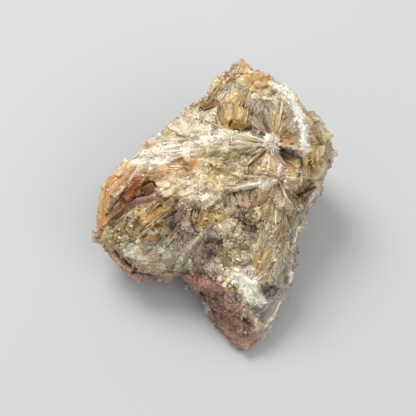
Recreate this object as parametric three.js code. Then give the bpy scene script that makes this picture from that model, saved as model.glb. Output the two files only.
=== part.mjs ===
// A hand specimen of gypsum: one broken lump in which sprays of bladed crystals have grown into each other and
// into a fine-grained matrix. It lies on a nearly flat broken face, with its crystal face turned up and forward.
//
// Row frame, in millimetres: +X right, +Y back, +Z up, with the origin on the floor, at the middle of the resting
// face. Face frame: the crystal face leans up by FACE_LEAN, "across" runs along +X, "up" runs up the face and
// "out" points straight out of it. The lump is one closed surface: a front sheet inside the rim, and a back sheet
// that runs from the rim down the flanks to the foot and closes the foot with the flat resting face.
import * as THREE from "three";

const FACE_LEAN = THREE.MathUtils.degToRad(30);
const FACE_CENTRE = new THREE.Vector3(0, -4, 31); // row frame
const FACE_ACROSS = new THREE.Vector3(1, 0, 0);
const FACE_UP = new THREE.Vector3(0, Math.cos(FACE_LEAN), Math.sin(FACE_LEAN));
const FACE_OUT = new THREE.Vector3(0, -Math.sin(FACE_LEAN), Math.cos(FACE_LEAN));
const CELLS = 46; // grid cells along each side of a sheet
const FOOT_SHARE = 0.3; // the part of the back sheet that is the resting face
const FLANK_BULGE = 0.13; // how far a flank swells, as a share of its height
const FLANK_SPREAD = 0.003; // how much wider than the rim a flank may be, per millimetre below it
const FADE_HEIGHT = 4; // the surface roughness dies away this far above the floor

// The rim, anticlockwise from the peak: [across, up, out, fall]. A high fall keeps the face flat until close to
// the rim and then drops it steeply, and a low one lets it slope all the way.
const RIM = [
  [8.4, 46.3, -5.0, 3],
  [6.4, 45.0, -5.3, 3],
  [3.5, 42.3, -5.6, 3],
  [0.9, 40.2, -5.8, 3],
  [-1.0, 37.6, -6.0, 3],
  [-1.6, 35.6, -6.2, 3],
  [-4.0, 33.2, -6.6, 3],
  [-9.2, 29.8, -7.4, 3],
  [-9.6, 28.4, -8.2, 2.8],
  [-12.2, 26.7, -8.8, 2.6],
  [-16.4, 24.0, -9.6, 2.6],
  [-17.4, 22.2, -10.0, 2.6],
  [-22.8, 19.7, -10.4, 2.6],
  [-25.2, 17.2, -10.3, 2.8],
  [-28.4, 14.6, -10.1, 3],
  [-31.8, 10.8, -10.1, 4],
  [-34.9, 7.5, -10.1, 5],
  [-37.6, 4.3, -10.0, 6],
  [-38.0, 1.0, -9.8, 7],
  [-37.7, -2.8, -9.6, 7],
  [-37.9, -6.8, -9.1, 6],
  [-38.9, -10.9, -8.6, 5],
  [-38.0, -12.4, -9.2, 5],
  [-36.0, -14.6, -10.2, 5],
  [-33.9, -17.9, -10.3, 5],
  [-29.6, -22.0, -9.4, 5],
  [-25.2, -23.6, -8.5, 5],
  [-19.0, -23.8, -7.7, 5],
  [-15.5, -24.8, -7.2, 6],
  [-12.3, -22.6, -7.8, 6],
  [-9.6, -24.8, -8.2, 6],
  [-6.0, -28.7, -9.2, 5],
  [-4.0, -32.2, -9.0, 4],
  [0.2, -37.8, -8.4, 4],
  [3.2, -42.4, -7.6, 4],
  [9.4, -46.0, -5.7, 4],
  [12.8, -43.4, -6.0, 5],
  [17.8, -38.1, -6.9, 6],
  [22.3, -30.0, -7.9, 7],
  [25.2, -20.6, -10.6, 8],
  [26.2, -11.0, -12.6, 8],
  [27.4, -7.6, -13.0, 8],
  [29.4, -2.2, -13.5, 8],
  [33.6, 4.8, -13.6, 7],
  [36.8, 12.2, -14.2, 6],
  [39.8, 17.2, -13.8, 5],
  [37.5, 21.7, -12.5, 4],
  [33.2, 26.2, -9.6, 4],
  [29.2, 30.8, -7.6, 4],
  [26.6, 34.0, -6.3, 4],
  [22.0, 38.4, -5.3, 3],
  [16.8, 40.6, -4.8, 3],
  [11.0, 42.2, -3.9, 3],
  [10.0, 43.6, -4.2, 3],
];

// The outline of the resting face on the floor, anticlockwise: [x, y].
const FOOT = [
  [8, 31],
  [-8, 28],
  [-20, 19],
  [-29, 6],
  [-31, -5],
  [-24, -13],
  [-12.5, -13],
  [-5, -21],
  [0, -33],
  [8, -37],
  [14, -33],
  [20, -24],
  [24, -10],
  [27, 2],
  [30, 14],
  [21, 25],
];

// What stands out of the crystal face and what is sunk in it:
// [across, up, half length, half width, turn in degrees, height, edge]. A small edge gives steep sides.
const FACE_RELIEF = [
  [-8, 4.6, 16, 9, 10, 2.5, 1], // swell of the middle of the face
  [18.3, -10.8, 17, 7, 78, 2.5, 1], // rib down the right side
  [20.8, 33, 9, 5, -25, 1.8, 0.9], // crest over the upper spray
  [4, 40, 7, 4, 60, 1.5, 0.8], // peak
  [13, 38.7, 4, 3, 10, 1.2, 0.4], // honey block beside the peak
  [-34.4, -1, 13, 2.6, 76, 3.2, 0.5], // outer honey plate
  [-26.7, 0, 12, 3.6, 52, -4.4, 0.6], // pocket between the honey plates
  [-20.5, 6.5, 6.5, 3.2, 25, -1.6, 0.7], // back of the pocket
  [-19.5, -5.2, 10, 2.4, 38, 2.8, 0.5], // olive spear
  [-17.0, -9.2, 9, 1.8, 40, -1.6, 0.7], // groove under the spear
  [-24, -4.4, 3, 2.4, 50, 1.6, 0.5], // yellow knob
  [-12.7, 10.8, 10, 3.4, 5, -1.2, 0.8], // honey hollow
  [-1.9, -13.3, 5.6, 5, 20, -4, 0.7], // hollow in the matrix
  [-7.6, -13.4, 8, 1.8, 48, 1.6, 0.8], // pale ridge beside the hollow
  [-1.9, -20.5, 2.8, 3.4, 0, 2.4, 0.8], // rounded pebble
  [-1.2, -25.6, 11, 2.7, -14, 2, 0.8], // clay lip
  [2.8, -36.3, 14, 7, -38, -4, 0.5], // block set back under the lip
  [-11.8, -20.5, 4, 7, 20, -2.5, 0.9], // groove above the notch
  [8.4, -3.7, 5, 2.4, 35, -2.6, 0.6], // dark pocket
  [22.6, 14, 4.8, 3.2, -35, -4, 0.4], // wedge-shaped pocket in the spray
  [17, 11.5, 4, 5, 0, 1.2, 0.8], // pale cone between the two sprays
  [-2.8, 31.6, 3.2, 2, 20, -1.6, 0.5], // small honey window
  [6.8, 24.8, 4.2, 2, -5, -2, 0.5], // second honey window
  [16, -26.6, 4.4, 3, 10, -2.6, 0.7], // grey hollow
  [29, 4.2, 4.5, 3.4, 20, -3, 0.3], // step in the right side
  [9, 1.2, 9, 3.2, 8, -2, 0.35], // hollow under the white spear
  [10.4, 5.9, 9, 1.1, 9, 1.3, 0.5], // white spear
  [-10, 2.3, 9.5, 2.2, -8, 1.6, 0.7], // row of pale knobs
  [-1, 21.2, 14.5, 1.7, -6, 1.3, 0.6], // upper white ledge
  [-21.6, 13.4, 6.8, 1.3, -3, 1, 0.6], // lower white ledge
  [-2.5, 15.2, 9, 1.2, 4, -1.1, 0.8], // groove between them
  [24.5, 25, 1.9, 6.5, -22, 1.4, 0.7], // pale vein
  [31, 17.5, 2.2, 7.5, 5, -1.6, 0.7], // groove beside it
];

// The ways that the big fractures of the flanks and the back face. Each one is a plane that skims the rim.
const FRACTURES = [
  [-0.45, 0.85, 0.05],
  [0.3, 0.92, 0.02],
  [-0.85, 0.4, -0.15],
  [0.92, 0.25, -0.25],
  [-0.6, -0.6, -0.4],
  [0.8, -0.45, -0.3],
].map((normal) => new THREE.Vector3(...normal).normalize());

// Broken blocks of the flanks and the back, which step a lot more than the shards.
const FLANK_BLOCKS = { size: 19, step: 3.6, tilt: 0.2 };

// Broken shards: flat cells of one size, each turned and stepped a little against its neighbours.
const SHARD_SIZES = [
  { size: 9, step: 1.5, tilt: 0.16 },
  { size: 4.4, step: 0.8, tilt: 0.14 },
];

const mix = (from, to, share) => from + (to - from) * share;

// 0 up to `low`, 1 from `high` on, and smooth between.
function smoothStep(low, high, value) {
  const t = THREE.MathUtils.clamp((value - low) / (high - low), 0, 1);
  return t * t * (3 - 2 * t);
}

// Where the spoke at `angle` from the middle of a closed outline crosses it, with the outline's other values.
function spoke(outline, angle) {
  const dx = Math.cos(angle);
  const dy = Math.sin(angle);
  for (let i = 0; i < outline.length; i += 1) {
    const from = outline[i];
    const to = outline[(i + 1) % outline.length];
    const before = from[0] * dy - from[1] * dx;
    const after = dx * to[1] - dy * to[0];
    if (before >= 0 && after > 0) {
      const share = before / (before + after);
      return from.map((value, k) => mix(value, to[k], share));
    }
  }
  throw new Error("the outline doesn't run once round its middle");
}

// A number from 0 to 1 that looks random and depends only on a whole-numbered cell and a channel.
function hash(x, y, z, channel) {
  const wave = Math.sin(x * 12.9898 + y * 78.233 + z * 37.719 + channel * 19.19) * 43758.5453;
  return wave - Math.floor(wave);
}

// The height of the shard that holds a point: its cell's own step, plus its own slope away from its seed.
function shardHeight(point, { size, step, tilt }) {
  const [px, py, pz] = [point.x / size, point.y / size, point.z / size];
  const [cx, cy, cz] = [px, py, pz].map(Math.floor);
  let nearest = Infinity;
  let height = 0;
  for (let x = cx - 1; x <= cx + 1; x += 1) {
    for (let y = cy - 1; y <= cy + 1; y += 1) {
      for (let z = cz - 1; z <= cz + 1; z += 1) {
        const away = [
          px - x - hash(x, y, z, 0),
          py - y - hash(x, y, z, 1),
          pz - z - hash(x, y, z, 2),
        ];
        const distance = away[0] ** 2 + away[1] ** 2 + away[2] ** 2;
        if (distance < nearest) {
          nearest = distance;
          const slope = away.reduce((sum, d, k) => sum + d * (hash(x, y, z, 3 + k) - 0.5), 0);
          height = step * (hash(x, y, z, 6) - 0.5) + 2 * tilt * size * slope;
        }
      }
    }
  }
  return height;
}

// How far the crystal face stands out of its own plane at a place on it.
function faceHeight(across, up) {
  let out = 0;
  for (const [a, b, length, width, turn, height, edge] of FACE_RELIEF) {
    const angle = THREE.MathUtils.degToRad(turn);
    const along = (across - a) * Math.cos(angle) + (up - b) * Math.sin(angle);
    const aside = (up - b) * Math.cos(angle) - (across - a) * Math.sin(angle);
    const away = Math.hypot(along / length, aside / width);
    out += height * (1 - smoothStep(1 - edge, 1, away));
  }
  return out;
}

function faceToRow(across, up, out) {
  return FACE_CENTRE.clone()
    .addScaledVector(FACE_ACROSS, across)
    .addScaledVector(FACE_UP, up)
    .addScaledVector(FACE_OUT, out);
}

function frontPoint(share, angle) {
  const [across, up, out, fall] = spoke(RIM, angle);
  const inner = faceHeight(across * share, up * share);
  return faceToRow(across * share, up * share, mix(inner, out, share ** fall));
}

// How far out the plane of each fracture lies: at the rim point that reaches furthest its way.
const fractureReach = FRACTURES.map((normal) =>
  Math.max(...RIM.map(([across, up, out]) => faceToRow(across, up, out).dot(normal))),
);

// Pulls a flank point in to where the rim, seen from straight in front of the face, just hides it.
function underRim(point) {
  const relative = point.clone().sub(FACE_CENTRE);
  const across = relative.dot(FACE_ACROSS);
  const up = relative.dot(FACE_UP);
  const [rimAcross, rimUp, rimOut] = spoke(RIM, Math.atan2(up, across));
  const widest = 0.985 + FLANK_SPREAD * Math.max(0, rimOut - relative.dot(FACE_OUT));
  const reach = Math.hypot(across, up) / Math.hypot(rimAcross, rimUp);
  const inward = Math.min(0, widest / Math.max(reach, 1e-6) - 1);
  return point.addScaledVector(FACE_ACROSS, across * inward).addScaledVector(FACE_UP, up * inward);
}

function backPoint(share, angle) {
  const [footX, footY] = spoke(FOOT, angle);
  const foot = new THREE.Vector3(footX, footY, 0);
  if (share <= FOOT_SHARE) return foot.multiplyScalar(share / FOOT_SHARE);
  const [across, up, out] = spoke(RIM, angle);
  const rim = faceToRow(across, up, out);
  const down = (1 - share) / (1 - FOOT_SHARE);
  const outward = foot.clone().normalize();
  const point = foot.lerp(rim, 1 - down);
  const swell = FLANK_BULGE * rim.z + shardHeight(point, FLANK_BLOCKS);
  point.addScaledVector(outward, swell * Math.sin(Math.PI * down));
  FRACTURES.forEach((normal, k) => {
    const beyond = Math.max(0, point.dot(normal) - fractureReach[k]);
    point.addScaledVector(normal, -beyond);
  });
  return underRim(point);
}

// Grid place (-1 to 1 each way) to share of the way out and angle, so that the square's border is the rim.
function squareToDisc(u, v) {
  if (u === 0 && v === 0) return [0, 0];
  if (Math.abs(u) > Math.abs(v)) return [Math.abs(u), (Math.PI / 4) * (v / u) + (u < 0 ? Math.PI : 0)];
  return [Math.abs(v), Math.PI / 2 - (Math.PI / 4) * (u / v) + (v < 0 ? Math.PI : 0)];
}

// One closed grid surface: the front sheet, then the inside of the back sheet, joined along the rim.
function lumpGeometry() {
  const side = CELLS + 1;
  const points = [];
  const triangles = [];
  const place = (i) => (2 * i) / CELLS - 1;
  const wrap = ([share, angle]) => [share, THREE.MathUtils.euclideanModulo(angle, 2 * Math.PI)];
  const backIndex = new Map();
  for (let j = 0; j < side; j += 1) {
    for (let i = 0; i < side; i += 1) {
      points.push(frontPoint(...wrap(squareToDisc(place(i), place(j)))));
    }
  }
  for (let j = 0; j < side; j += 1) {
    for (let i = 0; i < side; i += 1) {
      const onRim = i === 0 || j === 0 || i === CELLS || j === CELLS;
      backIndex.set(j * side + i, onRim ? j * side + i : points.length);
      if (!onRim) points.push(backPoint(...wrap(squareToDisc(place(i), place(j)))));
    }
  }
  for (let j = 0; j < CELLS; j += 1) {
    for (let i = 0; i < CELLS; i += 1) {
      const corners = [j * side + i, j * side + i + 1, (j + 1) * side + i + 1, (j + 1) * side + i];
      const [a, b, c, d] = corners;
      const [e, f, g, h] = corners.map((k) => backIndex.get(k));
      triangles.push(a, b, c, a, c, d, e, g, f, e, h, g);
    }
  }
  const geometry = new THREE.BufferGeometry().setFromPoints(points);
  geometry.setIndex(triangles);
  geometry.computeVertexNormals();
  roughen(geometry);
  return geometry;
}

// Moves each point along its normal by the shards that hold it, fading out towards the floor.
function roughen(geometry) {
  const position = geometry.getAttribute("position");
  const normals = geometry.getAttribute("normal");
  const point = new THREE.Vector3();
  const normal = new THREE.Vector3();
  for (let i = 0; i < position.count; i += 1) {
    point.fromBufferAttribute(position, i);
    normal.fromBufferAttribute(normals, i);
    const height = SHARD_SIZES.reduce((sum, sizes) => sum + shardHeight(point, sizes), 0);
    point.addScaledVector(normal, height * smoothStep(0, FADE_HEIGHT, point.z));
    position.setXYZ(i, point.x, point.y, Math.max(point.z, 0));
  }
  geometry.deleteAttribute("normal");
}

const gypsum = new THREE.MeshStandardMaterial({ color: 0xbda783, roughness: 0.6, metalness: 0 });
const lump = new THREE.Mesh(lumpGeometry(), gypsum);
lump.name = "gypsum_specimen";

const specimen = new THREE.Group();
specimen.add(lump);
export default specimen;
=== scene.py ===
"""Gypsum hand specimen: the looks of one broken lump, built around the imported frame.

Lengths in this file are millimetres, and the mesh builder turns them into metres. The crystal face of
the lump has a frame of its own: "across" runs to the right, "up" runs up the leaning face and "out"
points out of it.
"""

import functools
import math
from types import SimpleNamespace

import bpy
import numpy as np
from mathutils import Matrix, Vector


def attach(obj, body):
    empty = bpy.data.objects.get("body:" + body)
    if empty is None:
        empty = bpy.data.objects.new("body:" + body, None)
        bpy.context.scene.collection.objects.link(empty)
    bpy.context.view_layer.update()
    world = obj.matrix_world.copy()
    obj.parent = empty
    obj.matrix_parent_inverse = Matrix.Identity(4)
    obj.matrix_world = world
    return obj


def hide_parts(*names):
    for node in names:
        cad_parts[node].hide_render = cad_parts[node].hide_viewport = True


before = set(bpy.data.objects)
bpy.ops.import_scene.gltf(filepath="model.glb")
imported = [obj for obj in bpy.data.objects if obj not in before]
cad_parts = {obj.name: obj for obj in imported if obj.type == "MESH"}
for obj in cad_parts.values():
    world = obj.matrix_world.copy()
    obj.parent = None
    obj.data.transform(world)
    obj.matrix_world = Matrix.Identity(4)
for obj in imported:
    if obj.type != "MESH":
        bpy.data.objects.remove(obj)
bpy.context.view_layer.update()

bl_info = {
    "name": "Gypsum specimen",
    "version": (1, 0, 0),
    "blender": (4, 5, 0),
    "location": "3D View > Sidebar > Gypsum",
    "description": "Builds a broken lump of intergrown bladed gypsum, with its studio stage",
    "category": "Object",
}

MM = 0.001
BODY = "root"
CAD_NODE = "gypsum_specimen"

# --- The lump's shape, as the CAD solid has it ---

FACE_LEAN = math.radians(30)
FACE_CENTRE = np.array([0.0, -4.0, 31.0])
FACE_AXES = np.array(
    [
        [1, 0, 0],
        [0, math.cos(FACE_LEAN), math.sin(FACE_LEAN)],
        [0, -math.sin(FACE_LEAN), math.cos(FACE_LEAN)],
    ]
)
CELLS = 220  # along each side of the two grids
FOOT_SHARE = 0.3  # the share of the way out over the back that the resting face takes
FLANK_BULGE = 0.13  # how far a flank swells, over its rim's height
FLANK_REACH = 0.985  # how far out a flank may be, over its rim
FLANK_SPREAD = 0.003  # how much farther, for each millimetre behind the rim
FADE_HEIGHT = 4  # shards fade out from here down to the floor

# The rim, anticlockwise from the peak: across, up, out and how late the face falls away to it.
RIM = np.array(
    [
        (8.4, 46.3, -5, 3), (6.4, 45, -5.3, 3), (3.5, 42.3, -5.6, 3), (0.9, 40.2, -5.8, 3),
        (-1, 37.6, -6, 3), (-1.6, 35.6, -6.2, 3), (-4, 33.2, -6.6, 3), (-9.2, 29.8, -7.4, 3),
        (-9.6, 28.4, -8.2, 2.8), (-12.2, 26.7, -8.8, 2.6), (-16.4, 24, -9.6, 2.6),
        (-17.4, 22.2, -10, 2.6), (-22.8, 19.7, -10.4, 2.6), (-25.2, 17.2, -10.3, 2.8),
        (-28.4, 14.6, -10.1, 3), (-31.8, 10.8, -10.1, 4), (-34.9, 7.5, -10.1, 5), (-37.6, 4.3, -10, 6),
        (-38, 1, -9.8, 7), (-37.7, -2.8, -9.6, 7), (-37.9, -6.8, -9.1, 6), (-38.9, -10.9, -8.6, 5),
        (-38, -12.4, -9.2, 5), (-36, -14.6, -10.2, 5), (-33.9, -17.9, -10.3, 5), (-29.6, -22, -9.4, 5),
        (-25.2, -23.6, -8.5, 5), (-19, -23.8, -7.7, 5), (-15.5, -24.8, -7.2, 6),
        (-12.3, -22.6, -7.8, 6), (-9.6, -24.8, -8.2, 6), (-6, -28.7, -9.2, 5), (-4, -32.2, -9, 4),
        (0.2, -37.8, -8.4, 4), (3.2, -42.4, -7.6, 4), (9.4, -46, -5.7, 4), (12.8, -43.4, -6, 5),
        (17.8, -38.1, -6.9, 6), (22.3, -30, -7.9, 7), (25.2, -20.6, -10.6, 8), (26.2, -11, -12.6, 8),
        (27.4, -7.6, -13, 8), (29.4, -2.2, -13.5, 8), (33.6, 4.8, -13.6, 7), (36.8, 12.2, -14.2, 6),
        (39.8, 17.2, -13.8, 5), (37.5, 21.7, -12.5, 4), (33.2, 26.2, -9.6, 4), (29.2, 30.8, -7.6, 4),
        (26.6, 34, -6.3, 4), (22, 38.4, -5.3, 3), (16.8, 40.6, -4.8, 3), (11, 42.2, -3.9, 3),
        (10, 43.6, -4.2, 3),
    ]
)

# The outline of the resting face on the floor, anticlockwise.
FOOT = np.array(
    [
        (8, 31), (-8, 28), (-20, 19), (-29, 6), (-31, -5), (-24, -13), (-12.5, -13), (-5, -21),
        (0, -33), (8, -37), (14, -33), (20, -24), (24, -10), (27, 2), (30, 14), (21, 25),
    ]
)

# What stands out of the crystal face or is sunk in it: across, up, half length, half width, turn,
# height, and how much of it is a soft edge.
FACE_RELIEF = [
    (-8, 4.6, 16, 9, 10, 2.5, 1), (18.3, -10.8, 17, 7, 78, 2.5, 1), (20.8, 33, 9, 5, -25, 1.8, 0.9),
    (4, 40, 7, 4, 60, 1.5, 0.8), (13, 38.7, 4, 3, 10, 1.2, 0.4), (-34.4, -1, 13, 2.6, 76, 3.2, 0.5),
    (-26.7, 0, 12, 3.6, 52, -4.4, 0.6), (-20.5, 6.5, 6.5, 3.2, 25, -1.6, 0.7),
    (-19.5, -5.2, 10, 2.4, 38, 2.8, 0.5), (-17, -9.2, 9, 1.8, 40, -1.6, 0.7),
    (-24, -4.4, 3, 2.4, 50, 1.6, 0.5), (-12.7, 10.8, 10, 3.4, 5, -1.2, 0.8),
    (-1.9, -13.3, 5.6, 5, 20, -4, 0.7), (-7.6, -13.4, 8, 1.8, 48, 1.6, 0.8),
    (-1.9, -20.5, 2.8, 3.4, 0, 2.4, 0.8), (-1.2, -25.6, 11, 2.7, -14, 2, 0.8),
    (2.8, -36.3, 14, 7, -38, -4, 0.5), (-11.8, -20.5, 4, 7, 20, -2.5, 0.9),
    (8.4, -3.7, 5, 2.4, 35, -2.6, 0.6), (22.6, 14, 4.8, 3.2, -35, -4, 0.4),
    (17, 11.5, 4, 5, 0, 1.2, 0.8), (-2.8, 31.6, 3.2, 2, 20, -1.6, 0.5),
    (6.8, 24.8, 4.2, 2, -5, -2, 0.5), (16, -26.6, 4.4, 3, 10, -2.6, 0.7),
    (29, 4.2, 4.5, 3.4, 20, -3, 0.3), (9, 1.2, 9, 3.2, 8, -2, 0.35), (10.4, 5.9, 9, 1.1, 9, 1.3, 0.5),
    (-10, 2.3, 9.5, 2.2, -8, 1.6, 0.7), (-1, 21.2, 14.5, 1.7, -6, 1.3, 0.6),
    (-21.6, 13.4, 6.8, 1.3, -3, 1, 0.6), (-2.5, 15.2, 9, 1.2, 4, -1.1, 0.8),
    (24.5, 25, 1.9, 6.5, -22, 1.4, 0.7), (31, 17.5, 2.2, 7.5, 5, -1.6, 0.7),
]

# The ways that the big fractures of the flanks and the back face.
FRACTURES = [
    (-0.45, 0.85, 0.05), (0.3, 0.92, 0.02), (-0.85, 0.4, -0.15), (0.92, 0.25, -0.25),
    (-0.6, -0.6, -0.4), (0.8, -0.45, -0.3),
]

# Shards: how wide, how high their steps are and how steep their own slopes are.
FLANK_BLOCKS = (19, 3.6, 0.2)
SHARD_SIZES = [(9, 1.5, 0.16), (4.4, 0.8, 0.14)]
FINE_SHARDS = [(2.3, 0.45, 0.2), (1.1, 0.2, 0.16)]  # the CAD solid is too coarse for these
GRAIN_SHARDS = (1.7, 0.7, 0.3)  # in the fine-grained mass
LOOSE_SHARDS = (1.5, 0.5, 0.3)  # where no fan reaches

# Cleavage steps: how long and wide they are, over a blade, and how high, over a blade's width.
NARROW_STEPS = (1.1, 1.3, 0.34)
BROAD_STEPS = (1.4, 4.2, 0.8)
LOOSE_STEPS = 0.6  # how high they are where no fan reaches, over elsewhere
PIT_DEPTH = 0.55  # of the pits in the fine-grained mass
RIM_CALM = 0.65  # the share of the steps and grains that the rim is without
STEP_FADE = 2  # steps and grains fade out from this height down to the floor
CREVICE_SHADE = (0.27, 0.17)  # how much painted shade darkens crevices and painted light brightens crests in crystal, and how much less so in the mass
FACE_WRAP = 0.1  # the share of a flank, from the rim down, on which the face's own blades still grow

# Where the relief is flatter or stronger, and small pieces fewer or more: across, up, half length,
# half width, turn, factor.
CALM_PLACES = [
    (-13, 16.5, 23, 9, 27, 0.5), (-5, 7, 16, 7, 5, 0.5), (-3, 27.5, 6, 4, 50, 0.6),
    (-31, 3, 12, 6, 65, 0.85), (9, -7, 12, 8, -10, 1.3), (10.8, -25.8, 6, 4, -30, 0.65),
    (-22, -12, 12, 6, -15, 1.5),
]

STAINING = np.array([0.0, 0.01, -0.14])  # how much more red, green and blue a stained place has
DEPTH_TINT = 0.5  # how much deeper the middle of a clear crystal is coloured than its thin edges
SLENDER = 0.72  # narrower single crystals are solids of their own, the others are cut into the lump
FACET_LIFT = 0.6  # how far a single crystal with a lift of 1 stands out
FACET_EDGE = 0.25  # how far a facet blends into the face on each side of its outline
FACET_STEPS = 0.16  # from a facet's lowest lane to its highest
FACET_TILT = 0.8  # the share of a crystal's roll that its facet has
POLISH = 0.06  # how much less rough single crystals are than their mineral elsewhere
SMOOTHING = 4  # how many times the face that crystals are laid on is averaged
GLOSSY = 0.21  # minerals with a roughness below this have broader and flatter cleavage steps


def smooth_step(low, high, value):
    """0 up to low, 1 from high on, and 3t^2 - 2t^3 between."""
    t = np.clip((value - low) / (high - low), 0, 1)
    return t * t * (3 - 2 * t)


def mix(first, second, share):
    """The first value, with a share of the second in its place."""
    return first * (1 - share) + second * share


def unit(vectors):
    """Each vector over its own length."""
    return vectors / np.maximum(np.linalg.norm(vectors, axis=-1, keepdims=True), 1e-9)


def hash_of(cells, channel):
    """The fraction of a large sine of a cell's whole numbers and a channel: it looks random from 0 to 1."""
    wave = np.sin(cells @ np.array([12.9898, 78.233, 37.719]) + channel * 19.19) * 43758.5453
    return wave - np.floor(wave)


def three_hashes(cells, channel):
    """The hashes of this channel and the next two, side by side."""
    return np.stack([hash_of(cells, channel + k) for k in range(3)], -1)


def nearest_seed(places):
    """The cell of the jittered seed that is nearest to each place, with a seed in each unit cube, and the
    way from that seed."""
    corner = np.floor(places)
    nearest = np.full(len(places), np.inf)
    found, away = corner.copy(), np.zeros_like(places)
    for offset in np.ndindex(3, 3, 3):
        cell = corner + np.array(offset) - 1
        way = places - cell - three_hashes(cell, 0)
        distance = (way**2).sum(-1)
        closer = distance < nearest
        found[closer], away[closer], nearest[closer] = cell[closer], way[closer], distance[closer]
    return found, away


def shard_height(points, sizes):
    """The step of the nearest seed's cell, plus that cell's own slope times the way from its seed."""
    size, step, tilt = sizes
    cell, away = nearest_seed(points / size)
    slope = (away * (three_hashes(cell, 3) - 0.5)).sum(-1)
    return step * (hash_of(cell, 6) - 0.5) + 2 * tilt * size * slope


def soft_noise(points, size, seed):
    """Value noise from -1 to 1: random values at the corners of cubes of this size, blended smoothly."""
    place = points / size + seed * 11.7
    corner = np.floor(place)
    share = smooth_step(0, 1, place - corner)
    total = np.zeros(len(points))
    for offset in np.ndindex(2, 2, 2):
        step = np.array(offset)
        weight = np.prod(np.where(step == 1, share, 1 - share), axis=-1)
        total += weight * hash_of(corner + step, seed)
    return total * 2 - 1


def to_row(face_points):
    """Face frame to row frame."""
    return FACE_CENTRE + face_points @ FACE_AXES


def to_face(row_points):
    """Row frame to face frame."""
    return (row_points - FACE_CENTRE) @ FACE_AXES.T


def spoke(outline, angle):
    """An outline's values where the spoke at each angle crosses one of its straight sides."""
    corner = np.unwrap(np.arctan2(outline[:, 1], outline[:, 0]))
    turned = corner[0] + np.mod(angle - corner[0], 2 * np.pi)
    side = np.searchsorted(corner, turned, side="right") - 1
    here, there = outline[side], outline[(side + 1) % len(outline)]
    before = here[:, 0] * np.sin(angle) - here[:, 1] * np.cos(angle)
    after = np.cos(angle) * there[:, 1] - np.sin(angle) * there[:, 0]
    return here + (there - here) * (before / (before + after))[:, None]


def square_to_disc(u, v):
    """Concentric map: the larger coordinate is the share of the way out, their ratio is the angle."""
    wide = np.abs(u) > np.abs(v)
    below = np.where(wide, u, np.where(v == 0, 1, v))
    ratio = np.where(wide, v, u) / below
    angle = np.where(wide, np.pi / 4 * ratio, np.pi / 2 - np.pi / 4 * ratio) + np.pi * (below < 0)
    return np.maximum(np.abs(u), np.abs(v)), angle


def disc_to_square(share, angle):
    """The way back from share and angle to the two grid coordinates."""
    turned = np.mod(angle + np.pi / 4, 2 * np.pi)
    quarter = np.floor(turned / (np.pi / 2))
    offset = share * ((turned - quarter * np.pi / 2) / (np.pi / 4) - 1)
    u = np.choose(quarter.astype(int), [share, -offset, -share, offset])
    v = np.choose(quarter.astype(int), [offset, share, -offset, -share])
    return u, v


def ellipse_distance(across, up, zone):
    """How far places are from a turned ellipse's middle, with 1 on the ellipse."""
    a, b, length, width, turn = zone
    angle = math.radians(turn)
    along = (across - a) * math.cos(angle) + (up - b) * math.sin(angle)
    aside = (up - b) * math.cos(angle) - (across - a) * math.sin(angle)
    return np.hypot(along / length, aside / width)


def line_distance(across, up, first, last):
    """How far places are from the straight line between two places on the crystal face."""
    run = last - first
    share = np.clip(((across - first[0]) * run[0] + (up - first[1]) * run[1]) / (run @ run), 0, 1)
    return np.hypot(across - first[0] - share * run[0], up - first[1] - share * run[1])


def face_height(across, up):
    """The sum of soft-edged elliptical bumps and dents."""
    out = np.zeros_like(across)
    for *zone, height, edge in FACE_RELIEF:
        out += height * (1 - smooth_step(1 - edge, 1, ellipse_distance(across, up, zone)))
    return out


def front_sheet(share, angle):
    """Inside the rim: the face's own height, blended into the rim's by the share to a power."""
    across, up, out, fall = spoke(RIM, angle).T
    inner = face_height(across * share, up * share)
    blend = share**fall
    return to_row(np.stack([across * share, up * share, inner + (out - inner) * blend], -1))


def back_sheet(share, angle):
    """Flat foot up to FOOT_SHARE, then flanks: foot to rim in a line, swollen outwards, cut flat by
    fractures.

    A flank is pulled in to where the rim, from straight in front of the face, just hides it."""
    foot = np.pad(spoke(FOOT, angle), ((0, 0), (0, 1)))
    rim = to_row(spoke(RIM, angle)[:, :3])
    down = np.clip((1 - share) / (1 - FOOT_SHARE), 0, 1)[:, None]
    flank = rim + (foot - rim) * down
    swell = FLANK_BULGE * rim[:, 2:] + shard_height(flank, FLANK_BLOCKS)[:, None]
    flank += unit(foot) * swell * np.sin(np.pi * down)
    every_rim_point = to_row(RIM[:, :3])
    for way in FRACTURES:
        normal = unit(np.array(way))
        beyond = np.maximum(0, flank @ normal - (every_rim_point @ normal).max())
        flank -= beyond[:, None] * normal
    across, up, out = to_face(flank).T
    rim_across, rim_up, rim_out = spoke(RIM, np.arctan2(up, across)).T[:3]
    widest = FLANK_REACH + FLANK_SPREAD * np.maximum(0, rim_out - out)
    reach = np.hypot(across, up) / np.hypot(rim_across, rim_up)
    inward = np.minimum(0, widest / np.maximum(reach, 1e-6) - 1)
    flank += (np.stack([across * inward, up * inward], -1)) @ FACE_AXES[:2]
    return np.where(share[:, None] <= FOOT_SHARE, foot * (share / FOOT_SHARE)[:, None], flank)


def vertex_normals(points, quads):
    """The sum of each vertex's faces' cross products, made one long."""
    normals = np.zeros_like(points)
    for triangle in ((0, 1, 2), (0, 2, 3)):
        first, second, third = (points[quads[:, k]] for k in triangle)
        cross = np.cross(second - first, third - first)
        for k in triangle:
            for axis in range(3):
                normals[:, axis] += np.bincount(quads[:, k], cross[:, axis], len(points))
    return unit(normals)


def vertex_areas(points, quads):
    """A quarter of the area of each quad that meets at the vertex."""
    first, second, third, fourth = (points[quads[:, k]] for k in range(4))
    area = np.linalg.norm(np.cross(third - first, fourth - second), axis=-1) / 2
    return sum(np.bincount(quads[:, k], area / 4, len(points)) for k in range(4))


# --- What grows where ---

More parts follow.
